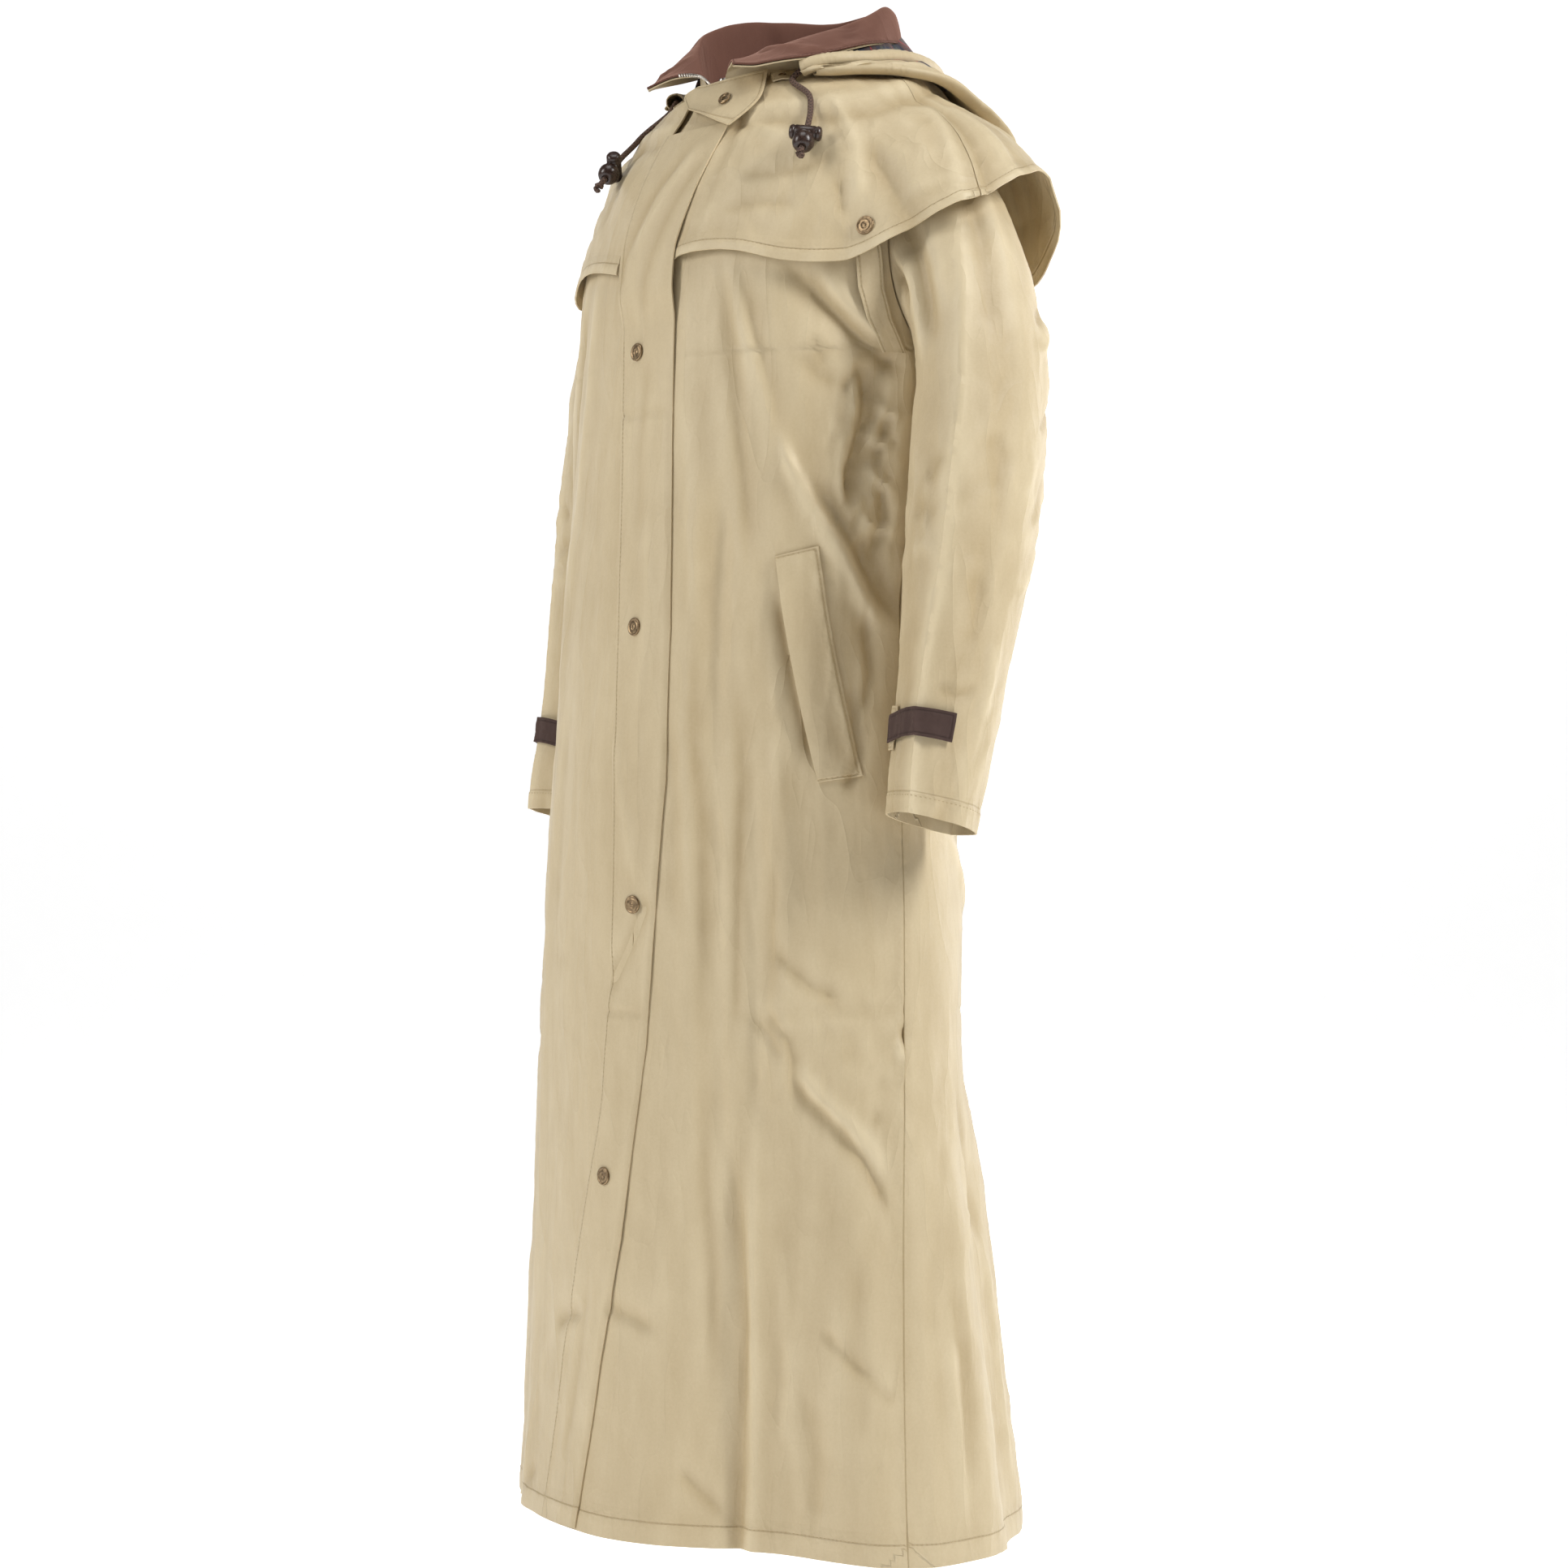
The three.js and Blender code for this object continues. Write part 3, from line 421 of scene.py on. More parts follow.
# thin shell on the surface fn(u, v), lifted along its outward normal
def makeCloth(name, nodes, us, vs, fn, sign, thick=1.6, lift=None, seam=None, wrap=False,
              material=None, rounded=0.35):
    bm = bmesh.new()
    bmesh.ops.create_grid(bm, x_segments=len(us) - 1, y_segments=len(vs) - 1, size=0.5)
    mesh = bpy.data.meshes.new(name)
    bm.to_mesh(mesh)
    raw = np.empty(len(mesh.vertices) * 3)
    mesh.vertices.foreach_get("co", raw)
    raw = raw.reshape(-1, 3)
    col = np.rint((raw[:, 0] + 0.5) * (len(us) - 1)).astype(int)
    row = np.rint((raw[:, 1] + 0.5) * (len(vs) - 1)).astype(int)
    u, v = np.meshgrid(np.array(us, float), np.array(vs, float))
    base = fn(u, v)
    normal = gridNormal(base, wrap) * sign
    high = np.zeros(u.shape) if lift is None else lift(u, v, base)
    p = base + normal * high[..., None]
    # hollow: how deep each point lies in a trough of the creases, kept on the vertices to paint shade into
    # the folds
    hollow = np.clip((soften(soften(soften(high, 3), 3), 3) - soften(high, 1)) / 1.8, -1, 1)
    far = np.full(u.shape, 99.0) if seam is None else seam(u, v, p)
    bm.verts.ensure_lookup_table()
    place = p[row, col] * 0.001
    for vert, co in zip(bm.verts, place):
        vert.co = co
    if sign < 0:
        bmesh.ops.reverse_faces(bm, faces=bm.faces)
    lengthU = np.concatenate([[0], np.cumsum(np.linalg.norm(np.diff(p, axis=1), axis=2).mean(0))])
    lengthV = np.concatenate([[0], np.cumsum(np.linalg.norm(np.diff(p, axis=0), axis=2).mean(1))])
    uv = bm.loops.layers.uv.new("cut")
    # per-vertex painted shade for the fold troughs, read by the cloth shader
    foldShade = bm.verts.layers.float.new("foldShade")
    near = bm.verts.layers.float.new("seam")
    for i, vert in enumerate(bm.verts):
        vert[foldShade] = hollow[row[i], col[i]]
        vert[near] = far[row[i], col[i]] * 0.001
    for face in bm.faces:
        face.smooth = True
        for loop in face.loops:
            i = loop.vert.index
            loop[uv].uv = (lengthU[col[i]] * 0.001, lengthV[row[i]] * 0.001)
    if wrap:
        bmesh.ops.remove_doubles(bm, verts=bm.verts, dist=1e-6)
    bm.to_mesh(mesh)
    bm.free()
    piece = bpy.data.objects.new(name, mesh)
    bpy.context.scene.collection.objects.link(piece)
    piece.data.materials.append(material)
    wall = piece.modifiers.new("wall", "SOLIDIFY")
    wall.thickness = thick * 0.001
    wall.offset = -1
    if rounded:
        edge = piece.modifiers.new("edge", "BEVEL")
        edge.width = rounded * 0.001
        edge.segments = 2
        edge.limit_method = "ANGLE"
        edge.angle_limit = 60 * rad
        edge.harden_normals = True
    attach(piece, "root")
    if nodes:
        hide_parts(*nodes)
    sizes[name] = (lengthU[-1], lengthV[-1], p)
    return piece


sizes = {}


def cutArea(name):
    p = sizes[name][2]
    a = np.cross(p[1:, 1:] - p[:-1, :-1], p[:-1, 1:] - p[1:, :-1])
    return float(np.linalg.norm(a, axis=-1).sum() / 2 * 1e-6)


def sewn(piece):
    area = cutArea(piece.name)
    width, length = (x * 0.001 for x in sizes[piece.name][:2])
    if area > width * length:
        width = area / length * 1.001
    print("cut", piece.name, round(width, 3), round(length, 3), round(area, 4))


# materials
def newMaterial(name):
    m = bpy.data.materials.new(name)
    m.use_nodes = True
    tree = m.node_tree
    return m, tree, tree.nodes["Principled BSDF"]


def node(tree, kind, **values):
    n = tree.nodes.new(kind)
    for key, value in values.items():
        if hasattr(n, key):
            setattr(n, key, value)
        else:
            n.inputs[key.replace("_", " ")].default_value = value
    return n


def group(name, ins, outs):
    g = bpy.data.node_groups.new(name, "ShaderNodeTree")
    for label, kind, value in ins:
        s = g.interface.new_socket(label, in_out="INPUT", socket_type=kind)
        if value is not None:
            s.default_value = value
    for label, kind in outs:
        g.interface.new_socket(label, in_out="OUTPUT", socket_type=kind)
    return g, g.nodes.new("NodeGroupInput"), g.nodes.new("NodeGroupOutput")


def maths(tree, operation, a, b=None, c=None):
    n = tree.nodes.new("ShaderNodeMath")
    n.operation = operation
    for slotIndex, value in enumerate((a, b, c)):
        if value is None:
            continue
        if isinstance(value, (int, float)):
            n.inputs[slotIndex].default_value = value
        else:
            tree.links.new(value, n.inputs[slotIndex])
    return n.outputs[0]


def noise(tree, vector, scale, detail=3.0, rough=0.55):
    n = node(tree, "ShaderNodeTexNoise", Scale=scale, Detail=detail, Roughness=rough)
    if vector is not None:
        tree.links.new(vector, n.inputs["Vector"])
    return n.outputs["Fac"]


# shared effects: close weave, slack crumple, painted shade in the folds, and tone beside seams
weave, wIn, wOut = group("weave", [("Pitch", "NodeSocketFloat", 0.00055)],
                         [("Height", "NodeSocketFloat")])
uvNode = node(weave, "ShaderNodeUVMap", uv_map="cut")
parts = node(weave, "ShaderNodeSeparateXYZ")
weave.links.new(uvNode.outputs[0], parts.inputs[0])
turns = []
for axis in (0, 1):
    ratio = maths(weave, "DIVIDE", parts.outputs[axis], wIn.outputs["Pitch"])
    turns.append(maths(weave, "MULTIPLY", ratio, math.pi))
warp = maths(weave, "ABSOLUTE", maths(weave, "SINE", turns[0]))
weft = maths(weave, "ABSOLUTE", maths(weave, "SINE", turns[1]))
mixed = maths(weave, "MULTIPLY", warp, weft)
weave.links.new(maths(weave, "POWER", mixed, 0.6), wOut.inputs["Height"])

cloth, cIn, cOut = group(
    "cloth",
    [("Light", "NodeSocketColor", (0.6, 0.5, 0.3, 1)), ("Deep", "NodeSocketColor", (0.4, 0.3, 0.15, 1)),
     ("Pitch", "NodeSocketFloat", 0.00055), ("Crumple", "NodeSocketFloat", 1.0)],
    [("Color", "NodeSocketColor"), ("Roughness", "NodeSocketFloat"), ("Normal", "NodeSocketVector")],
)
place = node(cloth, "ShaderNodeTexCoord").outputs["Object"]
stretched = node(cloth, "ShaderNodeMapping", Scale=(1, 1, 0.28))
cloth.links.new(place, stretched.inputs["Vector"])
# painted shade: how deep each vertex lies in a fold's trough
foldShadeNode = node(cloth, "ShaderNodeAttribute", attribute_name="foldShade")
seamNode = node(cloth, "ShaderNodeAttribute", attribute_name="seam")
distance = maths(cloth, "ABSOLUTE", seamNode.outputs["Fac"])
ditch = maths(cloth, "SUBTRACT", 1, maths(cloth, "MINIMUM", maths(cloth, "DIVIDE", distance, 0.0011), 1))
band = maths(cloth, "SUBTRACT", 1, maths(cloth, "MINIMUM", maths(cloth, "DIVIDE", distance, 0.009), 1))
broad = noise(cloth, place, 7.0, 4.0, 0.6)
streak = noise(cloth, stretched.outputs[0], 60.0, 4.0, 0.6)
fine = noise(cloth, place, 420.0, 2.0, 0.6)
tone = maths(cloth, "MULTIPLY_ADD", broad, 0.5, -0.25)
tone = maths(cloth, "ADD", tone, maths(cloth, "MULTIPLY_ADD", streak, 0.34, -0.17))
tone = maths(cloth, "ADD", tone, maths(cloth, "MULTIPLY_ADD", fine, 0.22, -0.11))
# painted shade: fold troughs are mixed further towards the Deep colour
tone = maths(cloth, "ADD", tone, maths(cloth, "MULTIPLY", foldShadeNode.outputs["Fac"], 0.36))
tone = maths(cloth, "ADD", tone, maths(cloth, "MULTIPLY", ditch, 0.45))
tone = maths(cloth, "ADD", tone, 0.36)
clamped = node(cloth, "ShaderNodeClamp")
cloth.links.new(tone, clamped.inputs[0])
colour = node(cloth, "ShaderNodeMix", data_type="RGBA")
cloth.links.new(clamped.outputs[0], colour.inputs["Factor"])
cloth.links.new(cIn.outputs["Light"], colour.inputs["A"])
cloth.links.new(cIn.outputs["Deep"], colour.inputs["B"])
cloth.links.new(colour.outputs["Result"], cOut.inputs["Color"])
gloss = maths(cloth, "MULTIPLY_ADD", streak, 0.3, 0.3)
cloth.links.new(gloss, cOut.inputs["Roughness"])
threads = cloth.nodes.new("ShaderNodeGroup")
threads.node_tree = weave
cloth.links.new(cIn.outputs["Pitch"], threads.inputs["Pitch"])
slack = maths(cloth, "MULTIPLY", noise(cloth, stretched.outputs[0], 26.0, 3.0, 0.5), 0.0011)
slack = maths(cloth, "ADD", slack, maths(cloth, "MULTIPLY", noise(cloth, place, 70.0, 3.0, 0.5), 0.00042))
for size, webDeep in ((13.0, 0.0030), (34.0, 0.0012)):
    web = noise(cloth, stretched.outputs[0], size, 2.0, 0.5)
    webLine = maths(cloth, "ABSOLUTE", maths(cloth, "SUBTRACT", web, 0.5))
    webLine = maths(cloth, "SQRT", maths(cloth, "ADD", webLine, 0.0006))
    slack = maths(cloth, "SUBTRACT", slack, maths(cloth, "MULTIPLY", webLine, webDeep))
slack = maths(cloth, "MULTIPLY", slack, cIn.outputs["Crumple"])
pucker = maths(cloth, "MULTIPLY", noise(cloth, place, 150.0, 1.0, 0.5), band)
pucker = maths(cloth, "MULTIPLY", pucker, 0.0013)
height = maths(cloth, "ADD", slack, pucker)
height = maths(cloth, "ADD", height, maths(cloth, "MULTIPLY", threads.outputs["Height"], 0.00005))
height = maths(cloth, "SUBTRACT", height, maths(cloth, "MULTIPLY", ditch, 0.0005))
bump = node(cloth, "ShaderNodeBump", Strength=1.0, Distance=1.0)
cloth.links.new(height, bump.inputs["Height"])
cloth.links.new(bump.outputs[0], cOut.inputs["Normal"])


def clothMaterial(name, light, deep, pitch=0.00055, crumple=1.0, sheen=0.2, sheenTint=(0.9, 0.8, 0.6, 1),
                  specular=0.4, rough=None):
    m, tree, shader = newMaterial(name)
    g = tree.nodes.new("ShaderNodeGroup")
    g.node_tree = cloth
    g.inputs["Light"].default_value = (*light, 1)
    g.inputs["Deep"].default_value = (*deep, 1)
    g.inputs["Pitch"].default_value = pitch
    g.inputs["Crumple"].default_value = crumple
    tree.links.new(g.outputs["Color"], shader.inputs["Base Color"])
    tree.links.new(g.outputs["Normal"], shader.inputs["Normal"])
    if rough is None:
        tree.links.new(g.outputs["Roughness"], shader.inputs["Roughness"])
    else:
        shader.inputs["Roughness"].default_value = rough
    shader.inputs["Sheen Weight"].default_value = sheen
    shader.inputs["Sheen Roughness"].default_value = 0.45
    shader.inputs["Sheen Tint"].default_value = sheenTint
    shader.inputs["Specular IOR Level"].default_value = specular
    return m


tan = clothMaterial("tan_cloth", (0.665, 0.555, 0.362), (0.41, 0.305, 0.16))
tanSmall = clothMaterial("tan_trim", (0.665, 0.555, 0.362), (0.41, 0.305, 0.16), crumple=0.4)
brown = clothMaterial("brown_nap", (0.155, 0.07, 0.049), (0.08, 0.032, 0.022), pitch=0.0009, crumple=0.5,
                      sheen=0.55, sheenTint=(0.75, 0.45, 0.35, 1), specular=0.2, rough=0.85)
darkTab = clothMaterial("dark_tab_cloth", (0.082, 0.05, 0.042), (0.04, 0.022, 0.018), crumple=0.4,
                        sheen=0.15, sheenTint=(0.6, 0.45, 0.4, 1), specular=0.25, rough=0.8)


# plain dark check of the builder's own layout on the cut's own axes
def checkMaterial():
    m, tree, shader = newMaterial("dark_check")
    uvMap = node(tree, "ShaderNodeUVMap", uv_map="cut")
    xy = node(tree, "ShaderNodeSeparateXYZ")
    tree.links.new(uvMap.outputs[0], xy.inputs[0])

    def stripe(value, period, start, width):
        turnedBy = maths(tree, "FRACT", maths(tree, "DIVIDE", maths(tree, "SUBTRACT", value, start), period))
        return maths(tree, "LESS_THAN", turnedBy, width / period)

    def blend(base, mainTone, amount):
        n = node(tree, "ShaderNodeMix", data_type="RGBA")
        if isinstance(base, tuple):
            n.inputs["A"].default_value = base
        else:
            tree.links.new(base, n.inputs["A"])
        n.inputs["B"].default_value = mainTone
        tree.links.new(amount, n.inputs["Factor"])
        return n.outputs["Result"]

    check = {"period": 0.046, "wide": 0.019, "line": 0.0022}
    result = (0.028, 0.032, 0.055, 1)
    for axis in (0, 1):
        value = xy.outputs[axis]
        wide = maths(tree, "MULTIPLY", stripe(value, check["period"], 0.004, check["wide"]), 0.55)
        result = blend(result, (0.085, 0.042, 0.028, 1), wide)
        green = maths(tree, "MULTIPLY", stripe(value, check["period"], 0.0305, 0.006), 0.55)
        result = blend(result, (0.095, 0.105, 0.075, 1), green)
        red = maths(tree, "MULTIPLY", stripe(value, check["period"], 0.0125, check["line"]), 0.75)
        result = blend(result, (0.34, 0.028, 0.032, 1), red)
        pale = maths(tree, "MULTIPLY", stripe(value, check["period"], 0.041, check["line"] * 0.6), 0.5)
        result = blend(result, (0.22, 0.19, 0.15, 1), pale)
    tree.links.new(result, shader.inputs["Base Color"])
    g = tree.nodes.new("ShaderNodeGroup")
    g.node_tree = cloth
    g.inputs["Crumple"].default_value = 0.7
    tree.links.new(g.outputs["Normal"], shader.inputs["Normal"])
    shader.inputs["Roughness"].default_value = 0.85
    shader.inputs["Sheen Weight"].default_value = 0.3
    shader.inputs["Specular IOR Level"].default_value = 0.25
    return m


checked = checkMaterial()


def threadMaterial(name, mainTone, rough):
    m, tree, shader = newMaterial(name)
    spotPlace = node(tree, "ShaderNodeTexCoord").outputs["Object"]
    twist = noise(tree, spotPlace, 1400.0, 1.0)
    n = node(tree, "ShaderNodeMix", data_type="RGBA")
    tree.links.new(twist, n.inputs["Factor"])
    n.inputs["A"].default_value = (*[c * 0.8 for c in mainTone], 1)
    n.inputs["B"].default_value = (*[min(1, c * 1.15) for c in mainTone], 1)
    tree.links.new(n.outputs["Result"], shader.inputs["Base Color"])
    shader.inputs["Roughness"].default_value = rough
    return m


thread = threadMaterial("tan_thread", (0.45, 0.34, 0.19), 0.6)


def metalMaterial(name, mainTone, dark, rough, metallic=1.0):
    m, tree, shader = newMaterial(name)
    spotPlace = node(tree, "ShaderNodeTexCoord").outputs["Object"]
    worn = noise(tree, spotPlace, 380.0, 4.0, 0.65)
    ramp = node(tree, "ShaderNodeMapRange")
    tree.links.new(worn, ramp.inputs["Value"])
    ramp.inputs["From Min"].default_value = 0.35
    ramp.inputs["From Max"].default_value = 0.65
    n = node(tree, "ShaderNodeMix", data_type="RGBA")
    tree.links.new(ramp.outputs[0], n.inputs["Factor"])
    n.inputs["A"].default_value = (*dark, 1)
    n.inputs["B"].default_value = (*mainTone, 1)
    tree.links.new(n.outputs["Result"], shader.inputs["Base Color"])
    tree.links.new(maths(tree, "MULTIPLY_ADD", worn, 0.25, rough), shader.inputs["Roughness"])
    shader.inputs["Metallic"].default_value = metallic
    bump1 = node(tree, "ShaderNodeBump", Strength=0.35, Distance=0.0002)
    tree.links.new(worn, bump1.inputs["Height"])
    tree.links.new(bump1.outputs[0], shader.inputs["Normal"])
    return m


brass = metalMaterial("antique_brass", (0.40, 0.29, 0.17), (0.16, 0.11, 0.065), 0.32)
steel = metalMaterial("zip_metal", (0.62, 0.60, 0.56), (0.34, 0.32, 0.30), 0.25)
zipTeethMetal = metalMaterial("zip_teeth", (0.78, 0.74, 0.68), (0.4, 0.36, 0.3), 0.25)
plastic = metalMaterial("dark_moulded", (0.05, 0.027, 0.02), (0.024, 0.013, 0.01), 0.16, 0.0)


def cordMaterial():
    m, tree, shader = newMaterial("brown_cord")
    uvMap = node(tree, "ShaderNodeUVMap", uv_map="cut")
    xy = node(tree, "ShaderNodeSeparateXYZ")
    tree.links.new(uvMap.outputs[0], xy.inputs[0])
    a = maths(tree, "MULTIPLY", xy.outputs[0], 2 * math.pi * 4)
    b = maths(tree, "MULTIPLY", xy.outputs[1], 2 * math.pi / 0.0045)
    left = maths(tree, "SINE", maths(tree, "ADD", a, b))
    right = maths(tree, "SINE", maths(tree, "SUBTRACT", a, b))
    plait = maths(tree, "MAXIMUM", left, right)
    n = node(tree, "ShaderNodeMix", data_type="RGBA")
    tree.links.new(maths(tree, "MULTIPLY_ADD", plait, 0.5, 0.5), n.inputs["Factor"])
    n.inputs["A"].default_value = (0.035, 0.017, 0.011, 1)
    n.inputs["B"].default_value = (0.13, 0.072, 0.048, 1)
    tree.links.new(n.outputs["Result"], shader.inputs["Base Color"])
    bump1 = node(tree, "ShaderNodeBump", Strength=0.8, Distance=0.0006)
    tree.links.new(plait, bump1.inputs["Height"])
    tree.links.new(bump1.outputs[0], shader.inputs["Normal"])
    shader.inputs["Roughness"].default_value = 0.7
    shader.inputs["Sheen Weight"].default_value = 0.05
    return m


cordCloth = cordMaterial()
print("materials done")

# creases of the body: height, half width before and after the line, then angle and z down its run
frontCreases = [
    [1.6, 12, 10, [[20, -175], [20.2, -234], [21, -295], [23.8, -355], [27.4, -436], [28, -500]]],
    [-2.4, 8, 11, [[27.7, -170], [32.3, -237], [35.6, -285], [37.5, -328], [41, -387], [43.3, -450]]],
    [-1.9, 7, 8, [[34.2, -175], [39.5, -239], [44.7, -284], [48.8, -329], [53.5, -395]]],
    [1.8, 13, 8, [[29.5, -170], [36.5, -238], [41.2, -272], [46.3, -312], [52.6, -350], [57, -370]]],
    [3.6, 13, 5, [[47, -318], [52.6, -350], [58.4, -377], [63.1, -398], [70.2, -425], [77.4, -461],
                  [89, -499]]],
    [-4.6, 6, 15, [[58, -366], [66, -392], [74, -420], [82, -455], [92, -488]]],
    [-6.5, 15, 13, [[44, -180], [58.6, -219], [67.6, -243], [78.9, -266], [90, -276]]],
    [3.2, 8, 9, [[57, -196], [66, -222], [73, -240], [80, -256]]],
    [-6.5, 5, 16, [[71, -262], [75, -300], [74.3, -324], [70.7, -359], [71.8, -392]]],
    [-1.8, 5, 5, [[57.5, -250], [58.3, -258], [60.8, -276]]],
    [-2.4, 5, 5, [[72.9, -272], [68.7, -285], [66, -296]]],
    [-1.6, 6, 9, [[52, -262], [58, -280], [66, -292]]],
    [2.6, 4, 4, [[77, -300], [82, -310], [88, -314]]],
    [2.8, 4, 5, [[74.5, -322], [78, -331], [84, -339]]],
    [2.6, 4, 4, [[76, -350], [80, -363], [87, -375]]],
    [2.4, 4, 4, [[75, -396], [81, -404], [89, -408]]],
    [-2.8, 5, 6, [[84, -300], [80, -345], [83, -392], [79, -440]]],
    [-2.6, 5, 7, [[78, -470], [80, -520], [77, -560]]],
    [-2.6, 5, 8, [[73.4, -525], [75.2, -590], [71, -622]]],
    [-2.2, 11, 9, [[29.6, -470], [29.1, -578], [31.2, -638], [31.3, -727], [30.5, -850]]],
    [-2.3, 9, 8, [[40.5, -510], [42.6, -608], [41.1, -667], [39.8, -756], [39.6, -850]]],
    [1.6, 9, 14, [[50.7, -560], [53.7, -630], [52.4, -700], [50, -760]]],
    [-2.2, 7, 16, [[54.8, -570], [53.7, -638], [49.9, -726], [47.9, -815]]],
    [-1.9, 5, 8, [[49, -748], [55.9, -767], [61.8, -781], [70, -792]]],
    [-0.8, 2.5, 2.5, [[30, -804], [47.7, -803], [65.6, -798], [86, -796], [120, -803]]],
    [-1.8, 5, 5, [[44, -803], [49.8, -823], [52.6, -840]]],
    [-2.8, 7, 4, [[52, -833], [59.3, -868], [66.9, -890], [73.3, -913], [77.8, -937], [82.5, -966]]],
    [1.9, 9, 8, [[56, -838], [63, -866], [71, -888], [77, -912], [82, -940]]],
    [-2.2, 6, 6, [[47, -800], [54.3, -821], [57, -855]]],
    [-3.6, 5, 4, [[84, -806], [90.3, -827], [95.4, -839], [92, -852], [91, -868]]],
    [2.4, 5, 5, [[82, -820], [87, -836], [88, -858]]],
    [2.2, 5, 6, [[90, -806], [98, -822], [101, -846]]],
    [-2.3, 9, 8, [[38.5, -880], [39.6, -968], [41.5, -1057], [39.9, -1146], [39, -1250], [39, -1300]]],
    [1.7, 8, 8, [[46.5, -850], [44.9, -937], [44.2, -1000], [45, -1100], [44, -1250], [44, -1300]]],
    [-1.9, 9, 9, [[31, -815], [30.5, -939], [32.3, -999], [32.5, -1110]]],
    [-1.7, 6, 10, [[4, -1050], [12, -1057], [18, -1068]]],
    [-1.6, 6, 6, [[22, -1174], [29.8, -1198], [36, -1212]]],
    [-1.5, 5, 6, [[62, -1050], [69.6, -1079], [75.5, -1093]]],
    [-1.3, 5, 5, [[73, -1090], [80.5, -1112]]],
    [-1.2, 8, 10, [[58, -1100], [62, -1160], [60, -1215]]],
    [1.2, 9, 9, [[52, -1000], [55, -1080], [53, -1170]]],
    [-1.2, 10, 12, [[22, -560], [23, -640], [22, -740]]],
    [-1.4, 9, 9, [[72, -980], [71, -1060], [72, -1150]]],
]
backCreases = [
    [1.9, 4, 4, [[97, -1050], [99.1, -1139], [98.3, -1225]]],
    [-2.2, 6, 4, [[101, -1010], [103, -1090], [102, -1190]]],
    [1.8, 4, 5, [[117, -910], [112, -960], [107, -1000]]],
    [-2.4, 6, 8, [[112, -860], [118, -930], [124, -1000]]],
    [2.0, 4, 5, [[126, -980], [129, -1080], [128, -1200]]],
    [-2.2, 5, 6, [[135, -1000], [139, -1090], [138, -1220]]],
    [2.2, 5, 6, [[144, -1020], [147, -1120], [146, -1230]]],
    [-3.2, 16, 18, [[128, -250], [140, -330], [150, -420]]],
    [2.6, 14, 14, [[122, -270], [132, -360], [140, -470]]],
    [-3.0, 18, 14, [[232, -250], [221, -335], [212, -430]]],
    [2.4, 13, 15, [[238, -280], [229, -370], [222, -480]]],
    [-2.0, 16, 16, [[178, -260], [182, -400], [179, -560]]],
    [1.6, 20, 20, [[160, -420], [163, -560], [160, -700]]],
    [-1.6, 18, 16, [[200, -400], [197, -560], [199, -720]]],
    [-0.8, 2.5, 2.5, [[100, -803], [140, -801], [180, -804], [220, -800], [262, -803]]],
    [-0.8, 2.5, 2.5, [[110, -306], [150, -303], [180, -306], [214, -303], [250, -306]]],
    [-2.6, 9, 13, [[112, -620], [126, -660], [142, -690]]],
    [2.0, 8, 9, [[110, -650], [124, -694], [138, -726]]],
    [-2.3, 12, 9, [[249, -600], [236, -650], [220, -684]]],
    [1.8, 9, 9, [[250, -640], [238, -688], [224, -720]]],
    [-2.0, 7, 7, [[168, -900], [171, -1040], [169, -1180]]],
    [2.0, 8, 8, [[186, -880], [189, -1020], [188, -1200]]],
    [-2.2, 8, 8, [[206, -920], [210, -1060], [209, -1230]]],
    [2.0, 7, 8, [[228, -900], [231, -1040], [230, -1210]]],
    [-2.0, 7, 6, [[246, -880], [250, -1020], [249, -1190]]],
]


# the same kind of creases for the other front, at their own places and depths
def otherSide(creases, seed):
    rng = np.random.default_rng(seed)
    out = []
    for high, near, far, line in creases:
        shift, drop, size = rng.normal(0, 2.2), rng.normal(0, 16), rng.uniform(0.65, 1.15)
        out.append([high * size, far, near, [[-(x + shift), z + drop] for x, z in line]])
    return out


leftCreases = frontCreases + scatter(3, 26, (58, 90), (-250, -470), 26, 3.4, 1.1) \
    + scatter(4, 20, (24, 88), (-500, -1210), 60, 5, 0.4, 0.1, 0.5) \
    + scatter(5, 14, (78, 98), (-800, -880), 22, 3.2, 0.9)
rightCreases = otherSide(frontCreases, 11) + scatter(12, 24, (-90, -58), (-250, -470), 26, 3.4, 1.1) \
    + scatter(13, 20, (-88, -24), (-500, -1210), 60, 5, 0.4, -0.1, 0.5)
rearCreases = backCreases + scatter(21, 26, (92, 160), (-820, -1225), 60, 4, 0.7, 0.1, 0.3) \
    + scatter(22, 26, (200, 268), (-820, -1225), 60, 4, 0.7, -0.1, 0.3)
flapCreases = [
    [-0.8, 2.5, 2.5, [[-6, -303], [6, -305], [20, -303]]],
    [-2.4, 9, 13, [[17, -700], [10.8, -745], [3, -795]]],
    [-2.2, 12, 8, [[4, -840], [-3.4, -948], [-9.4, -1030]]],
    [1.3, 12, 12, [[3, -560], [9, -640], [13, -700]]],
    [-1.4, 6, 7, [[12, -50], [2, -110], [-3, -170], [-3, -210]]],
    [1.3, 5, 6, [[15, -60], [6, -110], [1, -170]]],
    [-1.3, 6, 7, [[19, -60], [11, -120], [6, -190], [5, -230]]],
    [-0.8, 2.5, 2.5, [[-4, -803], [6, -804], [18, -803]]],
    [-1.2, 9, 9, [[8, -250], [7, -330], [9, -420]]],
    [1.0, 10, 10, [[12, -380], [14, -460], [12, -560]]],
    [-1.0, 7, 7, [[0, -1020], [-3, -1100], [-8, -1190]]],
] + scatter(31, 12, (-4, 18), (-230, -1200), 60, 5, 0.3, 0.1, 0.4)


def bodyScale(deg, z):
    g = tableRow(bodyRings, z)
    c, s = np.cos(deg * rad), np.sin(deg * rad)
    return np.hypot(g[..., 1] * c, g[..., 3] * s) * rad


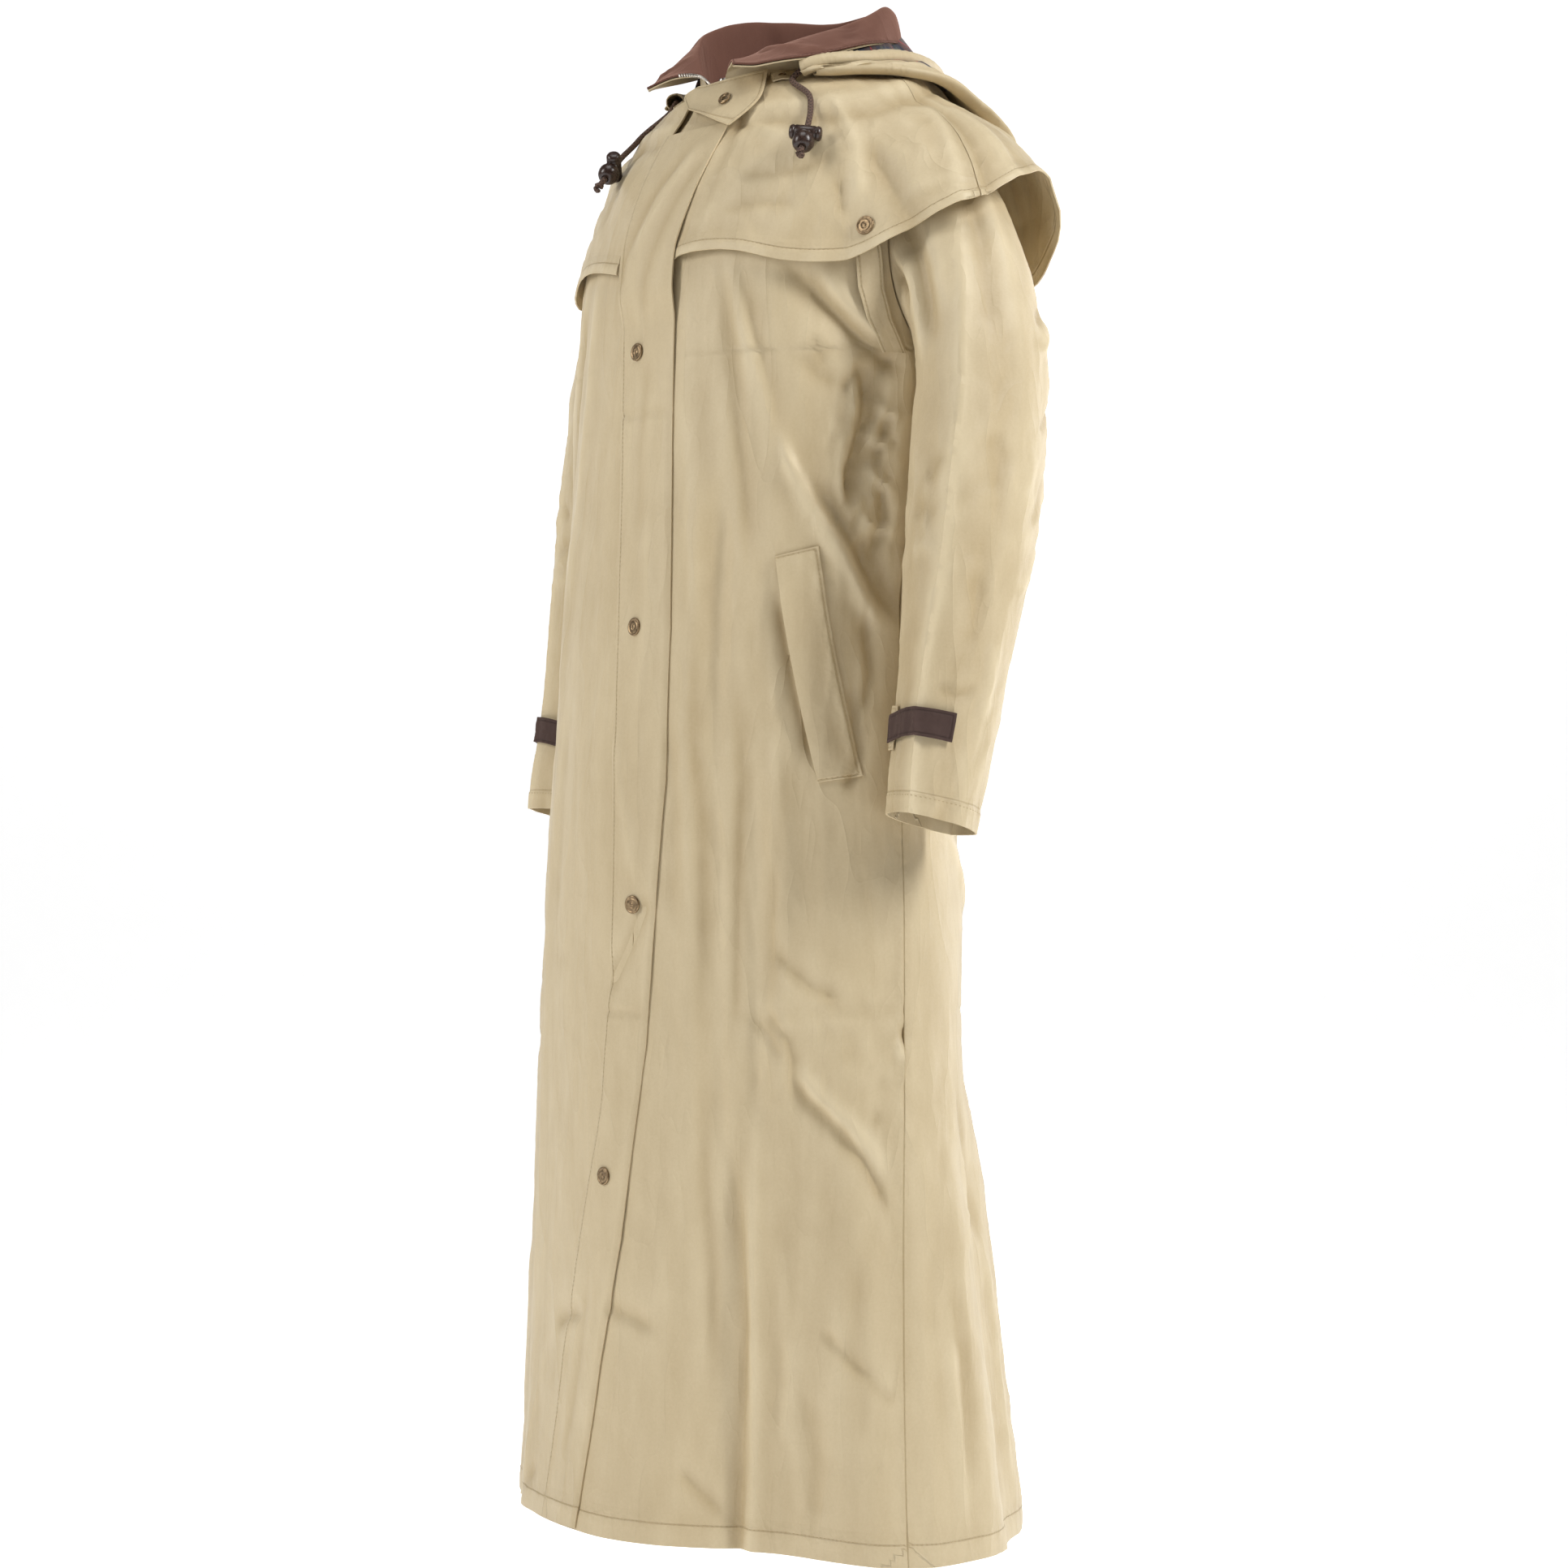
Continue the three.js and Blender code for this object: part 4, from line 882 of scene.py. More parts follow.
# close crumple of the body cloth, strongest under the arms and at the foot of the back
def slackness(deg, z):
    turnedBy = np.abs((deg + 180) % 360 - 180)
    arm = np.exp(-(((turnedBy - 78) / 15) ** 2)) * np.exp(-(((z + 360) / 110) ** 2))
    pocket = np.exp(-(((turnedBy - 70) / 20) ** 2)) * np.exp(-(((z + 840) / 70) ** 2))
    foot = ease(98, 112, turnedBy) * ease(-700, -1000, z)
    far = deg * 3.7
    longWear = crumple(far, z, 5, 34, 190)
    small = crumple(far + z * 0.25, z - far * 0.2, 8, 24, 36)
    fine = crumple(far - z * 0.4, z + far * 0.3, 9, 13, 24)
    return longWear * (1.7 + 2.2 * foot) + small * (0.7 + 3.6 * arm + 1.6 * pocket + 1.2 * foot) \
        + fine * (0.25 + 3.4 * arm + 1.6 * pocket + 0.5 * foot)


# body creases, dying out under the cape and at the neck
def wear(deg, z, creases, loose=1.0):
    high = creaseHeight(deg, z, bodyScale(deg, z), creases)
    if loose:
        high = high + slackness(deg, z) * loose
    return high * (1 - ease(-178, -150, z))


def bodyWear(deg, z):
    return wear(deg, z, leftCreases) + wear(deg, z, rightCreases, 0) + wear(deg, z, flapCreases, 0)


hemBand = {"wide": 18, "rise": 0.5}


# a turned hem: a little thicker below its stitch line, which lies in a shallow ditch
def hemRise(gap):
    return hemBand["rise"] * (1 - ease(hemBand["wide"] - 2, hemBand["wide"] + 1, gap)) \
        - 0.5 * np.exp(-(((gap - hemBand["wide"]) / 2.2) ** 2))


# pocket hollow behind the open edge of each welt
def pocketDip(deg, z):
    line = [[50.6, -445], [55, -505], [59.5, -560], [63, -605]]
    return creaseHeight(np.abs(deg), z, bodyScale(deg, z), [[-3.4, 9, 5, line]])


# fronts
panel = {"across": 90, "down": 300, "hem": -1240}
panelZ = np.linspace(0, panel["hem"], panel["down"] + 1)


def frontDegrees(side):
    def degrees(u, z):
        outer = sideAngle(z) - armholeReach(z) - 0.1 * ease(-270, -262, z) + 0.03
        return side * mix(openAngle(z) * side + 0.08, outer, u)
    return degrees


def panelPiece(name, us, degrees, sign, creases):
    def form(u, z):
        return bodyPoint(degrees(u, z), z)

    def edges(u, z):
        width = np.abs(degrees(np.ones_like(u), z) - degrees(np.zeros_like(u), z)) * bodyScale(90, z)
        return u * width, (1 - u) * width

    def lift(u, z, base):
        deg = degrees(u, z)
        first, last = edges(u, z)
        sides = last if name != "coat_back" else np.minimum(first, last)
        pinch = -0.5 * np.exp(-((sides / 2.6) ** 2)) * ease(-250, -270, z)
        return wear(deg, z, creases) + pocketDip(deg, z) + hemRise(z - panel["hem"]) + pinch

    def seam(u, z, p):
        first, last = edges(u, z)
        sides = last if name != "coat_back" else np.minimum(first, last)
        sides = np.where(z < -262, sides, 99)
        hem = z - panel["hem"] - hemBand["wide"]
        return np.where(np.abs(hem) < sides, hem, sides)

    return makeCloth(name, [name.replace("coat_", "")], us, panelZ, form, sign, 1.6, lift, seam,
                     material=tan)


us = np.linspace(0, 1, panel["across"] + 1)
frontLeft = panelPiece("coat_front_left", us, frontDegrees(1), -1, leftCreases)
frontRight = panelPiece("coat_front_right", us, frontDegrees(-1), 1, rightCreases)


def backDegrees(u, z):
    edge = sideAngle(z) + armholeReach(z) + 0.1 * ease(-270, -262, z) - 0.03
    return mix(edge, 360 - edge, u)


back = panelPiece("coat_back", np.linspace(0, 1, 125), backDegrees, -1, rearCreases)
print("body panels done")

# sleeves: the pressed line runs down the arm, with slack round the elbow and armhole
pressLine = [[-100, 40], [-214, 44], [-272, 49], [-320, 48], [-378, 51.5], [-439, 54], [-518, 63],
             [-552, 65], [-632, 58], [-660, 57]]
sleeveCreases = [
    [-5.5, 9, 8, [[122, -112], [114, -170], [110, -232]]],
    [3.2, 8, 9, [[104, -90], [97, -190], [93, -285]]],
    [-3.0, 9, 10, [[86, -86], [82, -170], [80, -268]]],
    [1.8, 9, 9, [[70, -96], [68, -180], [66, -250]]],
    [-2.0, 8, 12, [[24, -80], [22, -170], [26, -262]]],
    [1.6, 12, 12, [[6, -80], [4, -180], [2, -270]]],
    [-3.2, 7, 6, [[-62, -206], [-44, -232], [-24, -240]]],
    [2.6, 8, 8, [[-64, -236], [-46, -252], [-30, -262]]],
    [-2.8, 5, 7, [[-70, -300], [-50, -318], [-30, -332]]],
    [-2.2, 8, 8, [[-64, -352], [-44, -384], [-30, -412]]],
    [1.8, 9, 9, [[-56, -420], [-40, -446], [-24, -466]]],
    [-1.7, 6, 7, [[80, -372], [64, -356], [52, -350]]],
    [-1.5, 7, 8, [[98, -398], [80, -392], [60, -400]]],
    [1.6, 7, 7, [[96, -430], [78, -424], [62, -430]]],
    [-1.4, 7, 9, [[20, -330], [10, -356], [14, -386]]],
    [-1.3, 9, 9, [[30, -440], [16, -470], [18, -510]]],
    [1.2, 9, 9, [[0, -500], [-10, -530], [-4, -566]]],
    [-1.6, 5, 6, [[52, -536], [30, -543], [6, -538]]],
    [-3.4, 10, 10, [[170, -240], [176, -330], [172, -420]]],
    [2.8, 10, 12, [[150, -220], [152, -320], [156, -430]]],
    [-2.8, 9, 9, [[-128, -260], [-120, -350], [-124, -470]]],
    [2.4, 10, 10, [[-146, -240], [-140, -340], [-142, -440]]],
    [-1.8, 5, 7, [[-170, -378], [-150, -390], [-126, -386]]],
    [-1.8, 6, 6, [[172, -384], [158, -392], [140, -384]]],
]


def sleeveWear(psiDeg, z, seed):
    psiDeg = (psiDeg + 180) % 360 - 180
    scale = np.full(z.shape, 0.9)
    ends = ease(180, 150, np.abs(psiDeg))
    high = creaseHeight(psiDeg, z, scale, sleeveCreases)
    elbow = 0.55 + 0.7 * np.exp(-(((z + 390) / 70) ** 2))
    small = crumple(psiDeg * 0.95 + z * 0.3, z, seed, 22, 34) * elbow
    high = high + (small * 2.6 + crumple(psiDeg * 0.95, z, seed + 1, 26, 120) * 2.6) * ends
    at = np.interp(-z, [-r[0] for r in pressLine], [r[1] for r in pressLine])
    size = 7.5 * ease(-120, -230, z) + 1.0 * ease(-560, -640, z)
    for shift, part in ((0, 1), (180, 0.9)):
        gap = np.abs((psiDeg - at + shift + 180) % 360 - 180) * 0.85
        ridge = 0.85 * np.exp(-gap / 19) + 0.22 * np.exp(-gap / 3.4)
        high = high + part * size * (ridge - 0.3 * np.exp(-(((gap - 30) / 15) ** 2)))
    return high - 2.0 * ease(-600, -646, z)


cuff = {"wide": 18, "end": -646}


# turns each row of the sleeve so that the pressed line keeps one column
def armTurn(psi, s):
    z = np.where(s > 1, mix(-290, -646, s - 1), mix(-100, -290, s))
    return psi + (np.interp(-z, [-r[0] for r in pressLine], [r[1] for r in pressLine]) - 44) * rad


sleeves = {}
for side, label, seed in ((1, "left", 41), (-1, "right", 57)):
    flipX = np.array([side, 1, 1])

    def armForm(psi, s, flipX=flipX):
        return sleeveAt(armTurn(psi, s), s) * flipX

    def armLift(psi, s, base, seed=seed):
        high = sleeveWear(armTurn(psi, s) / rad, base[..., 2], seed) * ease(0, 0.12, s)
        gap = (2 - s) * 356
        return high + hemRise(gap)

    def armSeam(psi, s, p):
        under = np.abs((armTurn(psi, s) / rad - 178 + 180) % 360 - 180) * 0.85
        stitch = (2 - s) * 356 - cuff["wide"]
        return np.where(np.abs(stitch) < under, stitch, under)

    psis = (44 - 58 * 360 / 92) * rad + np.linspace(0, 2 * math.pi, 93)
    downs = np.concatenate([np.linspace(0, 1, 62)[:-1], np.linspace(1, 2, 100)])
    sleeves[side] = makeCloth(f"arm_{label}", [f"sleeve_{label}"], psis, downs, armForm, side, 1.6,
                              armLift, armSeam, wrap=True, material=tan)

# cuff tabs and the tan ends they button to
tabSize = {"from": 26, "to": 118, "top": -557, "tall": 24}
cuffTabs, cuffBases = {}, {}
for side, label, seed in ((1, "left", 41), (-1, "right", 57)):
    flipX = np.array([side, 1, 1])

    def tabForm(u, v, flipX=flipX):
        wave = 4 * np.sin(u * math.pi * 1.2 - 0.2)
        z = tabSize["top"] - tabSize["tall"] * v + wave
        return sleevePoint(mix(tabSize["from"], tabSize["to"], u) * rad, z, 5) * flipX

    def tabLift(u, v, base, seed=seed):
        psiDeg = mix(tabSize["from"], tabSize["to"], u)
        rim = np.minimum(np.minimum(v, 1 - v) * 24, np.minimum(u, 1 - u) * 64)
        return sleeveWear(psiDeg, base[..., 2], seed) * 0.9 - 0.3 * np.exp(-(((rim - 2.6) / 1.0) ** 2))

    def tabSeam(u, v, p):
        return np.minimum(np.minimum(v, 1 - v) * 24, np.minimum(u, 1 - u) * 64) - 2.6

    cuffTabs[side] = makeCloth(f"tab_{label}", [f"cuff_tab_{label}"], np.linspace(0, 1, 49),
                               np.linspace(0, 1, 25), tabForm, side, 1.6, tabLift, tabSeam,
                               material=darkTab)

    def baseForm(u, v, flipX=flipX):
        return sleevePoint(mix(104, 156, u) * rad, -551 - 38 * v, 2.5) * flipX

    def baseLift(u, v, base, seed=seed):
        return sleeveWear(mix(104, 156, u), base[..., 2], seed)

    def baseSeam(u, v, p):
        return np.minimum(np.minimum(v, 1 - v) * 38, np.minimum(u, 1 - u) * 38) - 2.5

    cuffBases[side] = makeCloth(f"tab_base_{label}", [f"cuff_tab_base_{label}"], np.linspace(0, 1, 25),
                                np.linspace(0, 1, 21), baseForm, side, 1.4, baseLift, baseSeam,
                                material=tanSmall)
print("sleeves done")

# cape: creases by angle and by drop, 190 down at its edge
capeCreases = [
    [-2.6, 7, 9, [[96, -34], [96, -110], [95.5, -190], [95.5, -240]]],
    [2.4, 9, 9, [[90, -60], [89, -120], [88, -200], [88, -240]]],
    [2.2, 9, 10, [[103, -60], [104, -130], [104, -200], [104, -240]]],
    [-3.4, 15, 12, [[66, -84], [74, -130], [79, -180], [80, -230]]],
    [2.4, 13, 12, [[56, -30], [64, -90], [67, -150]]],
    [-1.6, 5, 5, [[59, -118], [61, -132], [62, -152]]],
    [-1.5, 6, 9, [[28, -118], [42, -112], [58, -98]]],
    [-1.3, 6, 8, [[26, -152], [38, -142], [50, -140]]],
    [1.3, 8, 8, [[24, -50], [38, -74], [50, -86]]],
    [-1.3, 7, 6, [[25, -20], [23, -80], [21, -160]]],
    [-1.6, 7, 9, [[82, -50], [90, -66], [98, -64]]],
    [1.6, 7, 7, [[76, -40], [86, -50], [94, -44]]],
    [-1.8, 6, 8, [[100, -70], [108, -84], [116, -88]]],
    [2.8, 12, 12, [[122, -60], [125, -130], [125, -210], [125, -240]]],
    [-2.6, 10, 13, [[134, -60], [137, -140], [137, -230]]],
    [2.0, 14, 14, [[150, -130], [152, -180], [151, -240]]],
    [-2.0, 14, 14, [[165, -150], [166, -200], [166, -240]]],
    [1.8, 14, 14, [[180, -150], [181, -200], [180, -240]]],
]
capeCreases += [[h * s, b, a, [[(360 - x if x > 93 else -x) + o, z + 6] for x, z in line]]
                for (h, a, b, line), s, o in zip(capeCreases[:-1], [0.8, 1.1, 0.9] * 6, [2, -2, 1, -1] * 5)]
capeCreases += [[h, a, b, [[x - 360, z] for x, z in line]] for h, a, b, line in capeCreases
                if line[0][0] > 180]
capeCreases += scatter(61, 10, (20, 92), (-30, -180), 34, 4, 0.6, 0.3, 0.9) \
    + scatter(62, 10, (-92, -8), (-30, -180), 34, 4, 0.6, -0.3, 0.9)
capeEdge = {"stitch": 11, "rise": 0.5, "long": 205}


def capeWear(deg, v):
    drop = -190 * v
    scale = np.full(v.shape, 3.9)
    small = crumple(deg * 3.9 + drop * 0.5, drop, 15, 34, 50) * 1.6
    small = small + crumple(deg * 3.9, drop, 17, 60, 110) * 2.2
    return (creaseHeight(deg, drop, scale, capeCreases) + small) * ease(0.0, 0.12, v)


def capeLiftOf(deg, v):
    gap = (1 - v) * capeEdge["long"]
    band = capeEdge["rise"] * (1 - ease(capeEdge["stitch"] - 1.5, capeEdge["stitch"] + 1, gap))
    stitchDitch = -0.5 * np.exp(-(((gap - capeEdge["stitch"]) / 1.8) ** 2))
    flare = 2.2 * (1 - ease(0, 26, gap))
    far = np.abs((deg + 180) % 360 - 180)
    flare = flare - 13.5 * np.exp(-(((far - 129) / 7.5) ** 2)) * ease(0.3, 0.9, v)
    flare = flare + 3 * np.exp(-np.abs(far - 120) / 2.5) * ease(0.4, 1, v)
    return capeWear(deg, v) + band + stitchDitch + flare


def capePart(name, solidName, us, downs, degrees, sign):
    def form(u, v):
        return capePoint(degrees(u, v), v)

    def lift(u, v, base):
        deg = degrees(u, v)
        z = -180 * v
        cover = (deg > straight(flapTable, z)) * (1 - ease(-1.5, 1.5, deg - straight(flapTable, z, 2)))
        cover = cover * (deg < 60)
        return capeLiftOf(deg, v) * (1 - cover) - 1.3 * cover * ease(0.75, 0.85, v)

    def seam(u, v, p):
        deg = degrees(u, v)
        shoulder = np.abs(np.abs(np.where(deg > 180, deg - 360, deg)) - 93) * 4
        stitch = (1 - v) * capeEdge["long"] - capeEdge["stitch"]
        return np.where(np.abs(stitch) < shoulder, stitch, shoulder)

    return makeCloth(name, [solidName], us, downs, form, sign, 1.6, lift, seam, material=tan)


capes = {}
for side, label in ((1, "left"), (-1, "right")):
    def capeDegrees(u, v, side=side):
        z = -180 * v
        under = 2.4 * (1 - ease(0.3, 0.5, v)) - 0.9
        start = openAngle(z) + 0.2 if side > 0 else -(straight(flapTable, z) + under)
        return side * mix(start, 92.92, u)

    capes[side] = capePart(f"cape_{label}", f"cape_front_{label}", np.linspace(0, 1, 84),
                           np.linspace(0, 1, 72), capeDegrees, -side)
capeRear = capePart("cape_rear", "cape_back", np.linspace(0, 1, 150), np.linspace(0, 1, 72),
                    lambda u, v: mix(93.08, 266.92, u), -1)

straps = {}
for side, label in ((1, "left"), (-1, "right")):
    def strapPlace(u, v):
        z = mix(-152, -262, v)
        return straight(strapEdges, z) - 8 + 8 * u, z

    def strapForm(u, v, side=side):
        deg, z = strapPlace(u, v)
        return bodyPoint(side * deg, z, 2.6)

    def strapLift(u, v, base, side=side):
        deg, z = strapPlace(u, v)
        return bodyWear(side * deg, z) * 0.25 + 3.2 * np.sin(math.pi * np.clip(v, 0, 1)) + 0.5

    def strapSeam(u, v, p):
        return np.minimum(u, 1 - u) * 22 - 2.5

    straps[side] = makeCloth(f"strap_{label}", [f"cape_strap_{label}"], np.linspace(0, 1, 19),
                             np.linspace(0, 1, 81), strapForm, -side, 1.4, strapLift, strapSeam,
                             material=tanSmall)
print("cape done")

# storm flap and its turned throat end
flap = {"top": -50, "end": -1238, "across": 26, "down": 290}


def flapPlace(u, z):
    return mix(straight(flapTable, z), straight(flapTable, z, 2), u)


def flapForm(u, z):
    return bodyPoint(flapPlace(u, z), z, flapOff(z))


def flapWear(deg, z):
    under = wear(deg, z, leftCreases, 0.6) + wear(deg, z, rightCreases, 0)
    top = creaseHeight(deg, z, bodyScale(deg, z), flapCreases)
    return under + top


def flapLift(u, z, base):
    free = (1 - u) * 72
    roll = -1.5 * (1 - ease(0, 7, free)) * ease(-240, -300, z)
    wavy = 0.8 * (1 - ease(0, 26, free)) * (0.5 + 0.5 * np.sin(z / 61.0 + 1.1 * np.sin(z / 137.0)))
    return flapWear(flapPlace(u, z), z) + roll + wavy * ease(-240, -330, z) + hemRise(z - flap["end"])


def flapSeam(u, z, p):
    hem = z - flap["end"] - hemBand["wide"]
    sewnSide = u * 72 - 4
    sideRun = np.where(np.abs(sewnSide) < 12, sewnSide, 99)
    return np.where(np.abs(hem) < np.abs(sideRun), hem, sideRun)


stormFlap = makeCloth("flap", ["storm_flap"], np.linspace(0, 1, flap["across"] + 1),
                      np.linspace(flap["top"], flap["end"], flap["down"] + 1), flapForm, -1, 1.6,
                      flapLift, flapSeam, material=tan)


def throatForm(u, v):
    q = patch(throatRows, u, v)
    return bodyPoint(q[..., 0], q[..., 1], q[..., 2])


def throatLift(u, v, base):
    rim = np.minimum(np.minimum(v, 1 - v) * 45, np.minimum(u, 1 - u) * 75)
    curl = 1.6 * ease(0.6, 1, u) * (1 - v) + 0.8 * np.sin(3.2 * u + 2.4 * v)
    return curl + 0.45 * (1 - ease(2.5, 5, rim)) - 0.4 * np.exp(-(((rim - 4) / 1.2) ** 2))


def throatSeam(u, v, p):
    return np.minimum(np.minimum(v, 1 - v) * 45, np.minimum(u, 1 - u) * 75) - 4


throat = makeCloth("throat", ["throat_tab"], np.linspace(0, 1, 41), np.linspace(0, 1, 31),
                   throatForm, -1, 1.6, throatLift, throatSeam, material=tanSmall)

# pocket welts, open at the front edge
welt = {"gape": 4.2, "wide": 26, "long": 186}
welts = {}
for side, label in ((1, "left"), (-1, "right")):
    def weltPlace(u, v):
        a, b, c, d = pocketCorners
        deg, z = (mix(mix(a[k], b[k], u), mix(d[k], c[k], u), v) for k in (0, 1))
        return deg, z

    def weltForm(u, v, side=side):
        deg, z = weltPlace(u, v)
        return bodyPoint(side * deg, z, 3.4)

    def weltLift(u, v, base, side=side):
        deg, z = weltPlace(u, v)
        under = wear(side * deg, z, leftCreases if side > 0 else rightCreases)
        gape = welt["gape"] * (1 - ease(0, 0.75, u)) * ease(0.0, 0.3, v) * (1 - ease(0.86, 1, v))
        slack = -1.6 * np.exp(-(((u - 0.7) / 0.2) ** 2 + ((v - 0.84) / 0.12) ** 2))
        rim = np.minimum((1 - u) * welt["wide"], np.minimum(v, 1 - v) * welt["long"])
        return under + gape + slack - 0.35 * np.exp(-(((rim - 2) / 1.1) ** 2)) - 1.1 * np.exp(-rim / 1.6)

    def weltSeam(u, v, p):
        return np.minimum((1 - u) * welt["wide"], np.minimum(v, 1 - v) * welt["long"]) - 2

    welts[side] = makeCloth(f"welt_{label}", [f"pocket_welt_{label}"], np.linspace(0, 1, 25),
                            np.linspace(0, 1, 91), weltForm, -side, 1.6, weltLift, weltSeam,
                            material=tanSmall)
print("flap and pockets done")

# collar
collarCreases = [
    [1.5, 9, 9, [[10, -40], [16, -70], [22, -104]]],
    [-1.6, 7, 9, [[24, -20], [27, -60], [26, -100]]],
    [1.2, 9, 9, [[34, -30], [37, -70], [36, -110]]],
    [-1.2, 9, 9, [[46, -30], [47, -70], [45, -110]]],
    [1.2, 9, 8, [[58, -36], [57, -80], [59, -110]]],
    [-2.2, 7, 8, [[66, -10], [67, -50], [64, -96]]],
    [1.8, 8, 8, [[73, -24], [75, -66], [72, -104]]],
    [-2.0, 6, 7, [[82, -14], [83, -50], [86, -96]]],
    [1.4, 7, 7, [[91, -40], [92, -70], [90, -100]]],
] + scatter(71, 22, (4, 96), (-10, -104), 18, 5, 0.7)


def collarWear(u, v):
    return creaseHeight(u * 100, -110 * v, np.full(u.shape, 5.0), collarCreases) \
        * ease(0, 0.2, v) * (1 - np.exp(-(((v - 0.34) / 0.14) ** 2)) * 0.97)


def collarLift(u, v, base):
    rim = np.minimum((1 - v) * 95, np.minimum(u, 1 - u) * 480)
    return collarWear(u, v) - 0.3 * np.exp(-(((rim - 4) / 1.2) ** 2))


def collarSeam(u, v, p):
    return np.minimum((1 - v) * 95, np.minimum(u, 1 - u) * 480) - 4


def collarFall(u, v):
    p = collarPoint(u, v)
    p[..., 2] -= 4.5 * ease(0.55, 1, v) * ease(0, 0.08, np.minimum(u, 1 - u))
    return p


collarU = np.linspace(0, 1, 141)
collarV = np.concatenate([np.linspace(0, 0.5, 34)[:-1], np.linspace(0.5, 1, 26)])
collarTop = makeCloth("collar_top", ["collar_upper"], collarU, collarV, collarFall, -1, 1.3,
                      collarLift, collarSeam, material=brown)


def collarLow(u, v):
    p = collarFall(u, v)
    n = gridNormal(p, False)
    peak = np.exp(-(((v - 0.34) / 0.1) ** 2))[..., None]
    chord = (collarFall(u, v - 0.08 * (v > 0.1)) + collarFall(u, np.minimum(v + 0.08, 1))) / 2
    p = mix(p + n * 2.1, chord, peak)
    return p


collarBase = makeCloth("collar_base", ["collar_under"], collarU, collarV, collarLow, -1, 1.1,
                       lambda u, v, base: collarWear(u, v) - 0.1, material=tanSmall)
print("collar done")

# hood: bag, lining and the drawcord channel round its rim
hoodCreases = [
    [2.6, 10, 9, [[36, -150], [42, -195], [49, -250]]],
    [-2.6, 9, 9, [[44, -145], [47, -195], [50, -245]]],
    [2.2, 9, 10, [[63, -150], [58, -200], [51, -250]]],
    [-2.2, 8, 9, [[27, -150], [33, -190], [41, -230]]],
    [-2.2, 9, 8, [[74, -150], [68, -190], [60, -235]]],
    [1.8, 8, 8, [[18, -150], [22, -185], [27, -215]]],
    [1.8, 8, 8, [[83, -150], [79, -185], [74, -215]]],
    [-1.4, 7, 8, [[12, -170], [24, -178], [36, -172]]],
    [-1.4, 7, 8, [[64, -176], [76, -182], [88, -172]]],
] + scatter(81, 34, (6, 94), (-140, -240), 26, 6, 0.9, 0.2, 0.8)


def hoodWear(u, v):
    return creaseHeight(u * 100, -250 * v, np.full(u.shape, 5.2), hoodCreases) * ease(0.5, 0.6, v)


hoodV = np.concatenate([np.linspace(0, 0.4, 26)[:-1], np.linspace(0.4, 0.6, 18)[:-1],
                        np.linspace(0.6, 1, 38)])
hoodBag = makeCloth("hood_bag", ["hood_shell"], np.linspace(0, 1, 116), hoodV, hoodPoint, 1, 1.2,
                    lambda u, v, base: hoodWear(u, v) * np.minimum(1, 9 * np.minimum(u, 1 - u)),
                    material=tan)


def liningForm(u, v):
    half = np.minimum(u, 1 - u)
    deep = np.where(v > 0.6, mix(0.6, v, 12 * half), v)
    p = hoodPoint(u, deep, 4.2 + 6 * half)
    climb, behind = 1 - ease(0.04, 0.17, v), 1 - np.exp(-(((half - 0.27) / 0.07) ** 2))
    inward = 1 - ease(0.1 - 0.06 * behind, 0.24 - 0.07 * behind, v)
    p[..., 2] += climb * (11 + 26 * half)
    p[..., :2] *= (1 - 0.18 * inward * ease(0.1, 0.36, half))[..., None]
    return p


liningV = np.concatenate([np.linspace(0.04, 0.4, 30)[:-1], np.linspace(0.4, 0.6, 16)[:-1],
                          np.linspace(0.6, 0.68, 8)])
hoodLining = makeCloth("hood_inside", ["hood_lining"], np.linspace(0.056, 0.944, 100), liningV,
                       liningForm, 1, 1.0, None, material=checked)

rimAll = rimPath + [[-x, y, z] for x, y, z in rimPath[:-1][::-1]]


def rimForm(a, s):
    p = along(rimAll, s)
    run = unit(along(rimAll, np.clip(s + 0.005, 0, 1)) - along(rimAll, np.clip(s - 0.005, 0, 1)))
    out = unit(np.cross(run, np.array([0, 0, 1.0])))
    top = np.cross(out, run)
    wide, tall = channelRadius * np.cos(a), channelRadius * 0.8 * np.sin(a)
    return p + out * wide[..., None] + top * tall[..., None]


def rimLift(a, s, base):
    gather = 0.35 * np.sin(s * 420 + 2.5 * np.sin(a * 2)) * (0.5 + 0.5 * np.sin(s * 97))
    ends = ease(0, 0.04, s) * ease(1, 0.96, s)
    flat = -1.0 * np.abs(np.sin(a)) * (1 - ends)
    return gather * ends + flat - 0.6 * np.exp(-(((np.cos(a) + 0.2) / 0.16) ** 2)) * (np.sin(a) > 0)


def rimSeam(a, s, p):
    return np.where(np.sin(a) > 0, (np.cos(a) + 0.2) * 7, 99)


hoodRim = makeCloth("hood_channel", ["hood_rim"], np.linspace(0, 2 * math.pi, 25), np.linspace(0, 1, 221),
                    rimForm, 1, 1.2, rimLift, rimSeam, wrap=True, material=tanSmall)

hoodTabs = {}
for side, label in ((1, "left"), (-1, "right")):
    def smallForm(u, v, side=side):
        return capePoint(side * mix(40, 48, u), mix(0.005, 0.075, v), 1.7)

    def smallLift(u, v, base, side=side):
        under = capeWear(side * mix(40, 48, u), mix(0.005, 0.075, v))
        return under + 0.3 + 0.8 * np.sin(u * math.pi)

    def smallSeam(u, v, p):
        return np.minimum(np.minimum(v, 1 - v) * 14, np.minimum(u, 1 - u) * 30) - 2

    hoodTabs[side] = makeCloth(f"hood_patch_{label}", [f"hood_tab_{label}"], np.linspace(0, 1, 21),
                               np.linspace(0, 1, 13), smallForm, -side, 1.4, smallLift, smallSeam,
                               material=tanSmall)
print("hood done")


